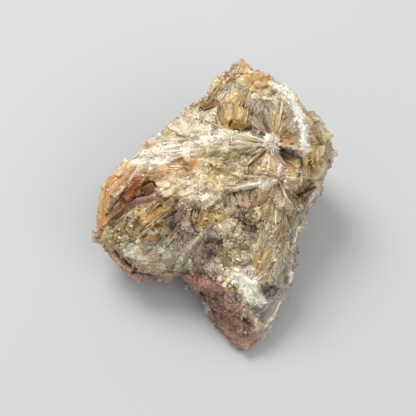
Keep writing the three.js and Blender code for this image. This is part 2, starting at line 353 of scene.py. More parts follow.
# Each mineral or its staining: colour, how thickly blades grow there, how rough it is, how fine-grained.
MINERALS = {
    "cream": ("#cdbb9a", 1, 0.34, 0.1),
    "white": ("#e8e1d0", 0.9, 0.3, 0.1),
    "snow": ("#f4f0e6", 0.9, 0.4, 0.1),
    "straw": ("#c1aa70", 1, 0.3, 0.1),
    "olive": ("#917e4c", 0.9, 0.3, 0.1),
    "gold": ("#ad8e4e", 1, 0.26, 0.05),
    "tan": ("#bd9b6b", 0.8, 0.3, 0.1),
    "honey": ("#ba8e50", 0.4, 0.2, 0),
    "amber": ("#8c5c30", 0.25, 0.16, 0),
    "bronze": ("#7f5d2e", 0.25, 0.16, 0),
    "orange": ("#a9753c", 0.12, 0.18, 0),
    "blush": ("#b98b5c", 0.25, 0.24, 0),
    "ember": ("#864b1a", 0.1, 0.15, 0),
    "caramel": ("#a98258", 0.9, 0.32, 0.25),
    "ochre": ("#95712f", 0.2, 0.17, 0),
    "ash": ("#66625b", 0.3, 0.26, 0.3),
    "peach": ("#c4a47c", 0.45, 0.28, 0),
    "brown": ("#85694a", 0.9, 0.36, 0.15),
    "grey": ("#a09380", 0.45, 0.4, 0.3),
    "slate": ("#979084", 0.5, 0.46, 0.5),
    "mauve": ("#a38d7f", 0.08, 0.72, 1),
    "earth": ("#936f5f", 0.03, 0.85, 1),
    "clay": ("#ab7d69", 0.03, 0.8, 0.8),
    # Umber is painted shade in the crevices, pockets and gaps of the crystal face and under its ledges; on
    # the flanks it is dark flecks in the mass.
    "umber": ("#3c2c1f", 0.1, 0.55, 0.5),
    "rose": ("#a05a4e", 0.2, 0.4, 0.2),
}
MINERAL_NAMES = list(MINERALS)
CLEAR_MINERALS = {"honey", "amber", "gold", "olive", "tan", "brown", "straw"}  # in slender crystals
NUMBER = {name: k for k, name in enumerate(MINERAL_NAMES)}
COVER, ROUGHNESS, GRAIN = 1, 2, 3  # the columns of MINERALS that are plain numbers

# Patches on the crystal face, the later ones over the earlier: mineral, across, up, half length, half
# width, turn, strength.
PATCHES = [
    # the fine-grained mass, its crust and the clay under it
    ("mauve", -5, -12.5, 13.5, 8, 80, 1), ("mauve", -11, -6.5, 5, 5.5, 0, 1),
    ("grey", -20, -16, 12, 5, -10, 0.9), ("cream", -18.6, -15.4, 8, 3, -10, 0.45),
    ("olive", -29, -8.5, 9, 4.5, 30, 0.7), ("cream", -26, -14, 3.4, 2.4, 0, 0.9),
    ("blush", -27.5, -18.6, 6, 1.6, -32, 0.7), ("slate", -14, -14, 4, 3, 0, 0.5),
    ("earth", -24, -19.5, 12, 2.4, -27, 0.9), ("earth", -25.5, -22.4, 9, 2.2, -18, 0.85),
    ("mauve", -14, -23, 8, 2.5, -8, 0.8), ("cream", -24.5, -13, 6, 4, -20, 0.5),
    ("cream", -21.5, -18.4, 6, 2.4, -15, 0.5), ("snow", -24.4, -16.4, 3.6, 0.7, -10, 0.7),
    ("umber", -27.8, -16, 2.2, 0.7, -50, 0.6), ("brown", -21, -14.4, 1.6, 0.8, 30, 0.6),
    ("umber", -16.4, -20.6, 2.4, 0.5, -10, 0.5), ("white", -17.4, -14.2, 1.5, 0.9, 20, 0.7),
    ("snow", -26.7, -14.6, 2.8, 2.2, 20, 0.55), ("mauve", -23.6, -19.5, 4, 1.9, -25, 0.6),
    ("peach", -23.4, -19.2, 3.4, 1.5, -25, 0.5), ("white", -9.7, -17.8, 2.3, 1.7, 10, 0.55),
    ("peach", -34, -12, 3, 2, -30, 0.5), ("clay", -0.5, -26.5, 11.5, 2.9, -20, 1),
    ("earth", 3, -34.5, 13, 7.5, -40, 1), ("mauve", -4, -33, 7, 2.6, -55, 0.8),
    # painted light and shade: the clay patch at (7, -31.5) and the cream one at (6.8, -31.8) lighten the
    # upper part of the lower lump, the faint umber patches at (3, -40.5) and (6, -38.4) darken its lower
    # part, and the umber line at (-4.6, -29.3) is painted shadow under the clay lip
    ("umber", -4.6, -29.3, 3.2, 0.8, -35, 0.8), ("clay", 7, -31.5, 7, 1.4, -33, 0.35),
    ("cream", 6.8, -31.8, 7.5, 2.8, -35, 0.3), ("umber", 3, -40.5, 9, 3, -46, 0.3),
    ("earth", 9.6, -42.6, 5, 4, 0, 0.9), ("umber", 10.5, -37.2, 3.2, 0.8, -35, 1),
    ("cream", -10.5, -17.5, 3.2, 1.6, 15, 0.7), ("grey", -7.5, -13.4, 7, 0.9, 62, 0.8),
    ("mauve", -1.2, -21, 2.2, 2.6, 0, 0.9), ("cream", -1.4, -20.4, 2, 2.2, 0, 0.3),
    ("cream", -3.8, -14.8, 4, 2.6, 60, 0.4), ("umber", -5.9, -9.5, 1.2, 2.2, 0, 0.8),
    ("umber", 1.9, -12, 1.4, 2.6, 10, 0.6), ("umber", -17.8, -9.2, 0.9, 0.6, -30, 0.9),
    ("umber", -6.2, -9.2, 1.7, 1, 50, 0.6), ("umber", 6, -38.4, 8, 2, -40, 0.3),
    # right side and bottom
    ("grey", 22.5, -14, 22, 4.4, 84, 0.8), ("grey", 11, -10, 9, 6, 0, 0.6),
    ("slate", 15.5, -33, 6, 3.5, -45, 0.9), ("cream", 9, -23.5, 9, 4, -30, 1),
    ("white", 9.6, -24.2, 5.4, 2.6, -35, 0.8), ("peach", 14.6, -21.8, 2.8, 1.6, 20, 0.6),
    ("peach", 12.4, -28, 2, 1.4, -30, 0.6), ("white", 12.8, -28.4, 4.4, 3.2, -30, 1),
    ("snow", 13, -28.6, 2.6, 1.8, -30, 0.8), ("snow", 9.6, -24, 5.2, 2.6, -35, 0.9),
    ("slate", 5, -27.5, 2.8, 1.6, -25, 0.9), ("slate", 16.5, -26.6, 4.6, 2.6, 0, 1),
    ("ash", 17, -27.4, 3.6, 2.2, 10, 1), ("ash", 5.2, -27, 2, 1.8, 0, 1),
    ("ash", 13.6, -33.4, 4, 1.4, -35, 0.7), ("brown", 10.2, -6.2, 3.4, 2.8, 20, 0.8),
    ("cream", 3, -7.8, 1.5, 2, 0, 0.7), ("mauve", 17.4, -7.6, 2.8, 2.2, 0, 0.6),
    ("straw", 19, -5, 0.9, 2, 0, 0.8), ("grey", 8, -11.4, 3.4, 1.9, 20, 0.6),
    ("brown", 5, -10.6, 1.4, 1, 0, 0.7), ("brown", 9.4, -13.2, 3, 1.2, -10, 0.7),
    ("umber", 12.2, -10.6, 0.8, 1.7, -20, 0.5), ("cream", 8.4, -16.6, 2.4, 1.2, 30, 0.5),
    ("brown", 20.4, -12.6, 4, 0.8, 80, 0.7), ("umber", 19.4, -8.8, 0.7, 1.6, -20, 0.5),
    ("umber", 5.2, -13.4, 1.2, 0.7, 30, 0.5), ("cream", 12.2, -13.6, 1.6, 1.1, 20, 0.7),
    ("olive", 18.4, -12.4, 4, 0.8, 75, 0.7), ("cream", 22.2, -13, 3.6, 0.6, 82, 0.7),
    ("gold", 15.2, -16.5, 6, 2.1, 62, 0.45), ("cream", 16.2, -15.4, 4.6, 1.4, 62, 0.5),
    ("grey", 9.6, -18, 3.4, 2.2, 20, 0.5), ("olive", 3.2, -16.4, 1.9, 3.6, 0, 0.9),
    ("olive", 26.5, 0.5, 4, 3.2, 0, 0.5), ("umber", 26.8, 4.2, 3.4, 1.8, 10, 0.5),
    ("brown", 28.4, 3.4, 5, 5, 0, 0.9), ("olive", 30.7, 17.7, 7, 3.8, 95, 0.8),
    ("umber", 30, 23, 2.6, 1.1, 0, 0.5), ("tan", 36.6, 18.2, 2.2, 3.4, 0, 0.8),
    ("ochre", 33.2, 17, 1.6, 4.2, 10, 0.7), ("brown", 36.4, 16.4, 2.4, 4.2, 10, 0.45),
    ("cream", 33.6, 18.5, 1.1, 2.8, 5, 0.7), ("tan", 35, 14.2, 1.6, 2, 0, 0.6),
    # the slope on the upper left and the white streaks that run from the star
    ("white", -16, 17, 20, 6.5, 32, 0.45), ("white", 5, 20.8, 12, 2.4, -3, 0.75),
    ("white", -20.5, 13.6, 6.6, 1.1, -3, 0.8), ("white", -14, 17.3, 8, 1.3, 0, 0.65),
    ("olive", -15.5, 22.2, 4, 1.6, 15, 0.45), ("honey", -21.4, 19.4, 2, 1.2, 0, 0.35),
    ("peach", -11.5, 12, 7.6, 3.1, 2, 0.85), ("honey", -7.2, 12.8, 1.6, 1.6, 0, 0.8),
    ("brown", -9.4, 9.4, 3.6, 1.3, -10, 0.7), ("white", -10, 4.5, 9, 3, 5, 0.5),
    ("straw", -13, 5.5, 3.4, 1.6, 10, 0.5), ("straw", 0, 8.6, 7, 4.8, 0, 0.6),
    ("white", -4.6, 8.6, 1.6, 2.6, 0, 0.4), ("grey", 3.4, 10.8, 3.2, 1.4, -8, 0.4),
    ("cream", -3, 2.6, 4.6, 2.8, 0, 0.7), ("white", -3.4, 2.4, 1.8, 1.8, 0, 0.6),
    ("gold", -3.5, -4, 6.5, 3, 0, 0.75), ("brown", -6.5, -2, 2.5, 2, 90, 0.7),
    ("cream", 4, -7.3, 5, 1.9, 0, 0.6), ("umber", 3.6, 13, 2.2, 0.9, -10, 0.6),
    ("olive", 4, 15.5, 7, 1.6, 0, 0.5),
    # the two stars
    ("snow", 17.4, 19.8, 3.2, 2.6, 0, 0.9), ("olive", 9, 16.4, 6.5, 1.6, 8, 0.8),
    ("brown", 12.2, 12.6, 5.4, 1.4, 48, 0.75), ("peach", 17.4, 12.2, 3.7, 5, 0, 0.9),
    ("white", 19.3, 12.5, 0.8, 3.6, 0, 0.5), ("clay", 21.2, 12.1, 1.1, 1.5, 0, 0.9),
    ("bronze", 23.9, 13.8, 4.2, 2.6, -38, 0.95), ("umber", 24.2, 16.2, 4, 1.5, -30, 0.9),
    ("honey", 23, 21, 3.2, 1.6, 0, 0.7), ("peach", 19.8, 25.4, 4.4, 5, 0, 0.7),
    ("brown", 22, 24, 2, 5, -15, 0.4), ("grey", 14.3, 28.8, 3.2, 5.4, 12, 0.85),
    ("brown", 13.4, 26, 0.7, 5.4, 14, 0.6), ("grey", 23.8, 27, 2.4, 4.6, 5, 0.7),
    ("rose", 19.8, 7.8, 0.9, 0.9, 0, 1), ("mauve", 15.2, 9, 2.7, 0.6, -8, 0.9),
    ("cream", 8, 1, 4.6, 2.4, 0, 0.6), ("clay", 19, 3, 3, 4.2, 0, 0.4),
    ("honey", 12.4, 1, 1.4, 3.2, -30, 0.9), ("brown", 9.8, -3.2, 5.4, 2.6, -10, 0.7),
    ("umber", 8.6, -5.2, 2.6, 1.3, -20, 0.8), ("umber", 11.6, -7.6, 1.6, 0.8, 30, 0.5),
    ("olive", 29.5, 26, 3, 6, 25, 0.7), ("olive", 33.5, 13, 3.4, 8, 20, 0.5),
    ("umber", 27.5, 2.6, 4.2, 2.2, 10, 0.6), ("white", 31.4, 2.4, 3.6, 1, 58, 0.85),
    ("slate", 20, -31, 11, 3, 60, 0.8), ("brown", 21.5, 30, 2.4, 3.6, 20, 0.6),
    ("brown", 19, -4, 6, 5, 0, 0.6), ("olive", 18, -9, 5, 3.5, 0, 0.5),
    ("brown", 26, -2.5, 3, 4.2, 0, 0.8), ("white", 24.2, -16, 6.4, 1.3, 82, 0.75),
    ("white", 24.8, -10, 2.5, 0.9, 80, 0.7), ("ash", 23.4, -11.6, 2.4, 0.7, 82, 0.9),
    ("ash", 25.2, -4.6, 1.7, 1.1, 60, 0.8), ("ash", 22.6, -19.6, 2.2, 0.6, 78, 0.8),
    ("slate", 26.6, -2.6, 2.4, 3.2, 0, 0.5), ("cream", 26.4, -0.6, 1.4, 0.8, 30, 0.8),
    ("umber", 25.4, -3.2, 1.7, 0.8, 60, 0.7), ("ash", 26.9, -5.4, 0.9, 1.7, 0, 0.85),
    ("cream", 25.6, -5.4, 0.8, 1.6, 0, 0.7), ("cream", 20.8, -17.8, 2.8, 1.6, 75, 0.6),
    ("umber", 16.8, -19.4, 2.6, 0.45, 62, 0.7), ("umber", 13.6, -15.4, 2.4, 0.45, 62, 0.6),
    # the top
    ("cream", 22, 34, 8, 5, -45, 0.6), ("white", 21.6, 36.3, 4.6, 2.2, -48, 0.95),
    ("brown", 18.3, 35.8, 1.1, 1.1, 0, 0.9), ("grey", 3.7, 37.3, 2.6, 2.2, 0, 0.7),
    ("brown", -1, 34.3, 4, 1.4, 30, 0.5), ("honey", 1.8, 38, 5.2, 1, 52, 0.8),
    ("tan", 6, 42.6, 5.4, 3, 55, 0.8), ("brown", 5.2, 41.6, 4.6, 2.2, 55, 0.7),
    ("honey", 7.2, 43.6, 2.6, 1.4, 60, 0.8), ("gold", 1.8, 38.6, 3.4, 1.2, 50, 0.6),
    ("mauve", 7.6, 44.6, 3.4, 2, 60, 0.4), ("honey", 9.9, 40.2, 1.2, 2.2, 20, 0.8),
    ("honey", 13, 38.5, 4.4, 2.9, 0, 1), ("bronze", -2.3, 31.6, 3.6, 1.9, 12, 1),
    ("umber", -3.2, 30, 3.2, 0.6, 10, 0.7), ("gold", 5, 29.3, 6.6, 3.9, 62, 0.75),
    ("bronze", 10.3, 28.6, 3.6, 1.7, 80, 0.75), ("bronze", 7.9, 24.6, 4.4, 1.9, -12, 1),
    ("umber", 10.6, 23.6, 2.4, 0.8, -25, 0.8),
    # the honey fan on the left
    ("orange", -33.8, 1.2, 11.4, 3.2, 74, 1), ("brown", -36.4, -10, 3.6, 2.4, 0, 0.45),
    ("peach", -30.6, 7.8, 8, 2.8, 58, 0.7), ("mauve", -30, 1.2, 9.4, 1.2, 54, 0.95),
    ("ember", -25.6, 4.4, 7, 2.4, 50, 1), ("caramel", -20.5, 9.3, 7, 2.3, 8, 0.95),
    ("ember", -25.6, 8, 1.8, 1.6, 40, 0.5), ("peach", -10.5, 12.2, 4.4, 2.6, 5, 0.8),
    ("caramel", -9, 11.8, 1.9, 1.7, 5, 0.6), ("white", -27.6, 13.2, 5.6, 0.9, 40, 0.45),
    ("brown", -21, 5, 3.4, 2.2, 10, 1), ("earth", -21.6, 1.4, 6.8, 2.1, 18, 1),
    ("umber", -24, 1, 6.4, 1.6, 20, 0.22), ("ember", -31, -3, 4.8, 1.3, 50, 0.9),
    ("ochre", -18.3, -2.3, 8.6, 3.7, 44, 0.95), ("amber", -25.4, -9.3, 2, 1.4, 20, 0.8),
    ("honey", -20.5, -10.2, 2.8, 1.3, 5, 0.8), ("honey", -24.2, -3, 1.8, 3, 20, 0.9),
]

# Foci that blades radiate from on the crystal face: the focus (across, up), then the ellipse they fill
# (across, up, half length, half width, turn), their pull against other foci, and the usual length and
# width of a blade.
SPRAYS = [
    (17.4, 18.2, -6, 18.2, 26, 6, 12, 1, 4.6, 0.5), (17.4, 18.2, 17, 23, 9, 11, 0, 0.9, 4.2, 0.65),
    (17.4, 18.2, 24, 17, 6, 6, 0, 0.9, 4, 0.8), (19.5, 7.8, 12, 7.5, 10, 3.5, 8, 1, 4, 0.55),
    (19.5, 7.8, 19, 1, 8, 8, 0, 0.9, 3.6, 0.5), (19.5, 7.8, 4, 6.6, 9, 4, 10, 0.3, 2.2, 0.5),
    (-37.8, -10.4, -29.6, 1.4, 13, 7, 60, 1.1, 4.5, 0.8),
    (-27.3, -12.7, -18.5, -3.5, 10, 4, 46, 1.1, 4.5, 0.7), (2.2, 19, 6, 28.5, 8, 5.5, 65, 1.1, 5, 0.9),
    (8, -28, 15, -15.5, 9, 5.5, 66, 0.9, 4.2, 0.5), (-8, 27, 3, 39, 11, 6, 55, 0.8, 3.4, 0.7),
    (28, 2, 31, 16, 10, 5, 96, 0.8, 3.4, 0.6), (7, 60, 8, 1, 6, 5, 0, 1, 3.2, 0.35),
    (-60, -17, -20, -16.5, 12, 5, -10, 0.7, 2.4, 0.4), (-25, 35, -12, -8, 8, 8, 0, 0.3, 1.8, 0.4),
]
PATCH_BLADE = (2.4, 0.55)  # a blade's usual length and width where no focus reaches
PATCH_SIZE = 5.5  # bundles there are about this wide
LOOSE = 60  # and are numbered from this on,
LOOSE_BUNDLES = 40  # with this many numbers
PATCH_SHIFT = 21.9  # moves the grid of those bundles away from that of the shards
FAN_RAGGED = 0.18  # how ragged the borders between fans are, over their half length
BUNDLE_RAGGED = 6  # how ragged the borders between the bundles of the flanks are
SPOKE_RADIUS = 10  # blades are as far apart across as they would be this far from their focus

# Single crystals on the crystal face: mineral, root (across, up), tip (across, up), width, roll in
# degrees, how far they stand out, and form. A negative roll turns the broad side to the left of its way.
CRYSTALS = [
    # the honey fan on the left
    ("honey", -35.7, -7.2, -35.6, 4.8, 3.1, -20, 0.3, "plate"),
    ("honey", -35.2, 4.6, -27.6, 14.2, 2.9, -18, 0.2, "plate"),
    ("blush", -34.4, -2.6, -32.2, 4.8, 1.2, 10, 0.6, "plate"),
    ("blush", -32.4, 2.2, -27, 11.4, 2.6, 8, 0.7, "plate"),
    ("orange", -30.2, 5.8, -25.4, 12.4, 1.6, 20, 0.8, "plate"),
    ("ember", -28.6, 1.8, -23.4, 8.8, 3.5, -24, 1.4, "plate"),
    ("white", -29.8, 5.2, -28.8, 6.6, 0.8, 10, 0.8, "block"),
    ("cream", -31.8, 2.4, -30.8, 4.6, 0.9, -10, 0.9, "block"),
    ("cream", -31.2, 9, -29, 11, 1.1, 10, 0.8, "plate"),
    ("peach", -33.8, -1.4, -33.2, 1.2, 0.9, 0, 0.8, "plate"),
    ("earth", -33.8, -3, -26.3, 8.8, 0.9, 40, 0.9, "spear"),
    ("amber", -34, -4.4, -27.6, 1.2, 1.9, -20, 0.5, "spear"),
    ("amber", -24.2, 3.8, -18.8, 6.3, 3.2, 12, 1.4, "plate"),
    ("cream", -25.4, 3, -23.6, 4.6, 1.3, 10, 1.5, "block"),
    ("earth", -27.4, 0.2, -17.2, 2.5, 2.6, 12, 0.5, "plate"),
    ("straw", -37, -7.9, -27.2, -2.7, 0.9, 15, 1.2, "spear"),
    ("grey", -27.9, -5.2, -24.8, -1.5, 2.6, -15, 0.9, "plate"),
    ("amber", -24.9, -7, -24.3, -3.2, 2.4, 10, 0.8, "block"),
    ("straw", -24.4, -3.6, -23.8, -0.7, 2.6, -10, 1.2, "block"),
    ("cream", -22.1, -5.4, -22.2, -0.9, 0.9, 0, 1, "plate"),
    ("ochre", -21.8, -7, -13.2, 1.2, 3.9, -22, 2.2, "spear"),
    ("brown", -16.2, -0.6, -12.6, 1.6, 2.4, -30, 1.7, "plate"),
    ("bronze", -22.6, -8.5, -13, -0.9, 1.6, 28, 1.8, "spear"),
    ("ochre", -27.2, -11, -19.6, -5.8, 1.7, -10, 0.9, "plate"),
    ("straw", -21.8, -7.1, -13.8, -0.3, 0.4, 20, 2.2, "spear"),
    ("olive", -32.9, -8.6, -31.9, -5.2, 1.3, 20, 0.8, "block"),
    ("amber", -30.5, -8.2, -29.8, -5, 1.6, -10, 0.7, "block"),
    ("olive", -28.5, -7.6, -27.5, -3.9, 1.1, 25, 0.8, "plate"),
    ("olive", -34.2, -9.8, -33.4, -6.6, 1.3, -20, 0.6, "plate"),
    ("cream", -35.6, -10.8, -34.7, -8, 1.2, -15, 0.4, "plate"),
    ("honey", -26.4, -10.1, -24.3, -7.6, 1.9, 15, 0.9, "block"),
    ("cream", -25.6, -8.9, -21.9, -5.9, 0.8, -20, 1.1, "spear"),
    ("white", -24.6, -10.6, -23.4, -9.6, 0.9, 10, 0.9, "block"),
    ("white", -28.2, -13.4, -26.2, -12, 1.3, -15, 0.7, "block"),
    ("cream", -25.8, -15.4, -23.4, -14.4, 1.4, 15, 0.7, "block"),
    ("honey", -21.5, -10.9, -19.4, -9.5, 1.7, 0, 0.7, "block"),
    ("honey", -18.2, -7.6, -16, -6.2, 1.4, 10, 0.5, "block"),
    ("olive", -16.5, -12.4, -13.6, -8.2, 0.6, 15, 0.5, "spear"),
    ("straw", -15.3, -12.6, -12.2, -8.6, 0.6, -10, 0.5, "spear"),
    ("olive", -18.8, -12.6, -15.6, -9.4, 0.6, 20, 0.5, "spear"),
    # the upper left slope
    ("honey", -8.9, 11, -6.3, 14.2, 2.2, 15, 0.6, "block"),
    ("white", -20.6, 13.4, -14.2, 13.6, 1.1, -15, 0.7, "plate"),
    ("white", -17.6, 17.9, -10.3, 19, 1.3, -20, 0.6, "spear"),
    ("white", -20, 16.8, -5, 17.4, 0.6, 0, 0.9, "spear"),
    ("white", -8, 20.6, 2, 21.4, 1.3, -25, 0.6, "plate"),
    ("white", -2.6, 19, 9, 20.4, 1, -10, 0.8, "spear"),
    ("cream", -13.4, 21.2, -7, 22.8, 1.5, -15, 0.5, "plate"),
    ("tan", -22, 18.7, -19.8, 20, 2, -10, 0.4, "block"),
    ("gold", -16.2, 22.4, -14.2, 24, 1.9, 0, 0.3, "block"),
    ("olive", -11.6, 20, -8.4, 20.6, 0.9, 10, 0.5, "plate"),
    ("brown", -12.8, 22.2, -9.6, 21.2, 0.9, 10, 0.4, "plate"),
    # the middle
    ("brown", -7.6, -6.6, -6.2, -1, 2, -20, 0.5, "plate"),
    ("ochre", -5.2, -6.2, -4.2, -1.6, 1.9, 12, 0.6, "plate"),
    ("amber", -3.9, -4.4, -2.9, -1.9, 1.5, -20, 0.7, "block"),
    ("tan", -3, -7.2, -0.4, -2.8, 1.7, -10, 0.6, "plate"),
    ("tan", 0.2, -5.4, 4, -3.2, 2.2, 10, 0.5, "plate"),
    ("brown", -2.6, -1.8, 2, 2.2, 1.4, 30, 0.5, "spear"),
    ("cream", -5, -0.6, -0.9, 1.4, 2.6, -10, 0.9, "block"),
    ("white", -4.6, 1.2, -2.2, 3.4, 1.8, 10, 0.9, "block"),
    ("cream", -16.4, 2.8, -13, 5, 1.9, -15, 0.7, "block"),
    ("straw", -12.8, 4.8, -9, 6.8, 1.9, -10, 0.7, "plate"),
    ("cream", -10.4, 2.2, -6.6, 4, 1.7, 12, 0.7, "block"),
    ("olive", 1.8, 10.1, 6.2, 11.6, 2.1, -10, 0.5, "plate"),
    ("grey", 2.8, 13.2, 6.6, 13.8, 1.5, 10, 0.3, "plate"),
    ("straw", -3.8, 7.2, -0.4, 10, 2, -10, 0.5, "plate"),
    ("straw", 4.6, -7.4, 7.4, -5.8, 1.5, -14, 0.9, "block"),
    ("cream", 2, -9, 4.6, -7.8, 1.4, 14, 0.9, "block"),
    ("white", 3.4, -6.2, 5, -5, 1.1, 20, 1, "block"),
    ("cream", 5.4, -9.8, 7.6, -9, 1.2, -20, 0.8, "block"),
    ("cream", 12.3, -4.9, 13.7, -1.3, 2.1, 15, 1.3, "block"),
    ("straw", 14.2, -3.2, 15.4, -0.8, 1.2, -16, 1, "block"),
    ("cream", 15.2, -7.4, 17, -5.6, 1.3, 22, 0.9, "block"),
    ("peach", 17.4, -8.6, 19, -6.6, 1.1, -18, 0.8, "block"),
    ("straw", 8.8, -12.4, 10.6, -11, 1.2, 16, 0.9, "block"),
    ("cream", 11.6, -14.6, 13, -12.8, 1.1, -16, 0.9, "block"),
    ("olive", 6.2, -15.4, 7.4, -13, 1.1, 20, 0.7, "block"),
    ("cream", 8, -18.4, 9.8, -17.2, 1.2, -14, 0.8, "block"),
    ("grey", 9.4, -10.6, 11.2, -8.8, 1.2, 20, 0.6, "block"),
    ("straw", 19.2, -5.2, 20.4, -3.4, 1, 15, 0.8, "block"),
    # the two stars and what stands around them
    ("cream", 19.2, 19, 27.6, 17.2, 1.7, -20, 2.2, "spear"),
    ("honey", 21, 19.4, 26.2, 21.2, 1.9, 10, 0.7, "plate"),
    ("umber", 20.4, 17, 26.6, 14.6, 2.1, -14, -0.5, "plate"),
    ("ochre", 22, 15.2, 25.2, 11.4, 3, 14, 0.6, "plate"),
    ("straw", 22.6, 10.4, 25.6, 9, 1.8, -10, 0.5, "plate"),
    ("white", 18.8, 7.5, 3.6, 4.6, 1.5, -25, 1.4, "spear"),
    ("amber", 12.4, 3, 11.1, -0.4, 1.8, 0, 0.9, "block"),
    ("tan", 15.8, 4.6, 14.8, 1.4, 1.9, 0, 0.7, "block"),
    ("cream", 12.4, -0.6, 13.4, -3.6, 1.5, -15, 0.8, "block"),
    ("olive", 14, -0.8, 14.8, -3.8, 1.4, 15, 0.8, "block"),
    # the windows, the fan between them and the peak
    ("bronze", -4.8, 30.8, -0.4, 32.4, 2.6, -15, 0.8, "plate"),
    ("ochre", 4, 24.9, 9.4, 24.4, 3, 20, 1.6, "plate"),
    ("mauve", 1.6, 29.6, 2.4, 33, 1.1, 20, 0.3, "plate"),
    ("gold", 6.5, 41.4, 8.2, 44.6, 1.9, -15, 0.3, "plate"),
    ("brown", 4, 40.8, 5.8, 43.4, 1.8, -20, 0.3, "plate"),
    ("tan", 8.3, 41.6, 8.9, 44.2, 1.4, 10, 0.4, "block"),
    ("gold", 9.3, 38.6, 10.6, 41.2, 1.6, 0, 0.4, "plate"),
    ("honey", 10.4, 38.4, 15.8, 39.6, 2.8, -10, 0.5, "plate"),
    ("peach", 12.2, 36, 14.6, 39.2, 3, 10, 0.7, "block"),
    ("honey", 0.6, 36.6, 4.4, 40.4, 1, -15, 0.6, "spear"),
    ("honey", -1, 35.4, 0.4, 37.2, 0.8, 0, 0.5, "spear"),
    ("brown", 17.5, 34.8, 18.4, 37, 1.6, 0, 0.6, "block"),
    ("cream", 13, 33.6, 18.6, 33, 1, 0, 0.6, "spear"),
    ("grey", 2.6, 35.6, 4.8, 38.4, 1.9, -10, 0.4, "block"),
    # the right side and the bottom
    ("olive", 3.6, -20.4, 3.4, -14, 2.8, 25, 0.3, "plate"),
    ("straw", 20.8, -17.4, 21.8, -10.8, 0.9, -10, 0.5, "spear"),
    ("white", 8.8, -20.4, 11, -18.8, 1.3, 0, 0.7, "block"),
    ("cream", 5.4, -22.4, 8.6, -20.4, 1.8, -10, 0.7, "block"),
    ("white", 8.4, -26, 11, -28.2, 1.5, -15, 0.7, "block"),
    ("cream", 11.2, -26.6, 13.8, -29, 1.4, 15, 0.8, "block"),
    ("ash", 16, -28.6, 18.6, -26.2, 2, 20, 0.3, "plate"),
    ("slate", 11.4, -34.8, 15.6, -31.6, 1.8, -20, 0.4, "plate"),
    ("cream", 12.6, -25, 14.8, -23.6, 1.3, 10, 0.6, "block"),
    ("olive", 28.4, 12, 29.6, 18.4, 1.2, -20, 0.6, "plate"),
    ("gold", 30.2, 12.6, 31, 19.6, 1.3, 15, 0.6, "plate"),
    ("olive", 31.4, 9.4, 30.8, 13, 1.3, 0, 0.5, "plate"),
    ("grey", 36, 14.6, 37, 20.4, 3, 10, 0.6, "plate"),
    ("ochre", 32.6, 13.4, 33.2, 19.4, 1.7, -15, 0.5, "plate"),
    ("tan", 31.8, 19, 30.2, 23.4, 1.5, 10, 0.5, "plate"),
    ("cream", 30.6, 25.4, 27.8, 29, 1.1, -10, 0.5, "plate"),
    ("brown", 27, 2.8, 29.4, 5.2, 2, -15, 0.3, "block"),
    ("olive", 24.2, 0.2, 26.8, 2.6, 1.9, 15, 0.4, "block"),
]

# Fans of crystals that radiate from a focus: focus (across, up), first and last direction in degrees,
# shortest and longest reach, how many, how far they stand out, and their minerals in turn.
FANS = [
    # the upper star
    (17.5, 19.2, 60, 92, 2.6, 10.5, 5, 0.5, ("tan", "brown", "peach", "brown", "gold")),
    (17.5, 19.2, 92, 132, 2.8, 12.5, 7, 0.5,
     ("brown", "grey", "brown", "umber", "brown", "grey", "brown")),
    (17.5, 19.2, 12, 60, 2.6, 8.5, 6, 0.4, ("tan", "olive", "brown", "gold")),
    (17.5, 19.2, 134, 156, 2.4, 8, 4, 0.2, ("umber", "brown", "olive", "grey")),
    (17.5, 19.2, 160, 172, 2.4, 15, 3, 0.6, ("white", "cream", "straw")),
    (17.5, 19.2, 172, 190, 2.2, 15, 3, 0.6, ("straw", "honey", "cream")),
    (17.5, 19.2, 206, 240, 2.8, 11, 5, 0.4, ("brown", "olive", "tan", "bronze", "brown")),
    (17.5, 19.2, 242, 284, 2.6, 9.4, 6, 0.6, ("cream", "peach", "white", "peach", "cream", "tan")),
    # the lower star
    (19.3, 7.8, 172, 200, 1.6, 14, 4, 0.5, ("cream", "mauve", "white", "honey")),
    (19.3, 7.8, 225, 310, 1.2, 7.5, 9, 0.3, ("tan", "brown", "cream", "brown", "grey")),
    # between the two windows
    (6.6, 13.5, 76, 99, 12.5, 19, 6, 0.5, ("bronze", "gold", "tan", "straw", "olive", "tan")),
    # the honey fan
    (-38.5, -13.5, 62, 86, 10, 20, 4, 0.1, ("peach", "honey", "orange", "straw")),
    (-38.5, -13.5, 46, 58, 8, 21, 3, 0.2, ("ember", "orange", "brown")),
    # the brown fibres in the middle, the golden ones below and the olive ones on the right
    (7, 60, 266, 277, 55.5, 61, 11, 0.8, ("cream", "brown", "white", "tan", "cream", "tan")),
    (8, -30, 58, 74, 10.5, 19, 6, 0.9, ("straw", "gold", "cream", "ochre", "straw", "gold")),
    (28, -6, 78, 104, 12, 26, 6, 0.4, ("straw", "tan", "straw", "gold", "cream", "tan")),
]

# Fine rays in the middle of the stars: middle (across, up), count, shortest and longest, width, minerals.
STARS = [
    (17.5, 19.4, 34, 1.2, 3.8, 0.28, ("snow", "cream", "white", "tan")),
    (19.4, 7.8, 16, 0.8, 2.2, 0.22, ("peach", "white", "brown")),
]

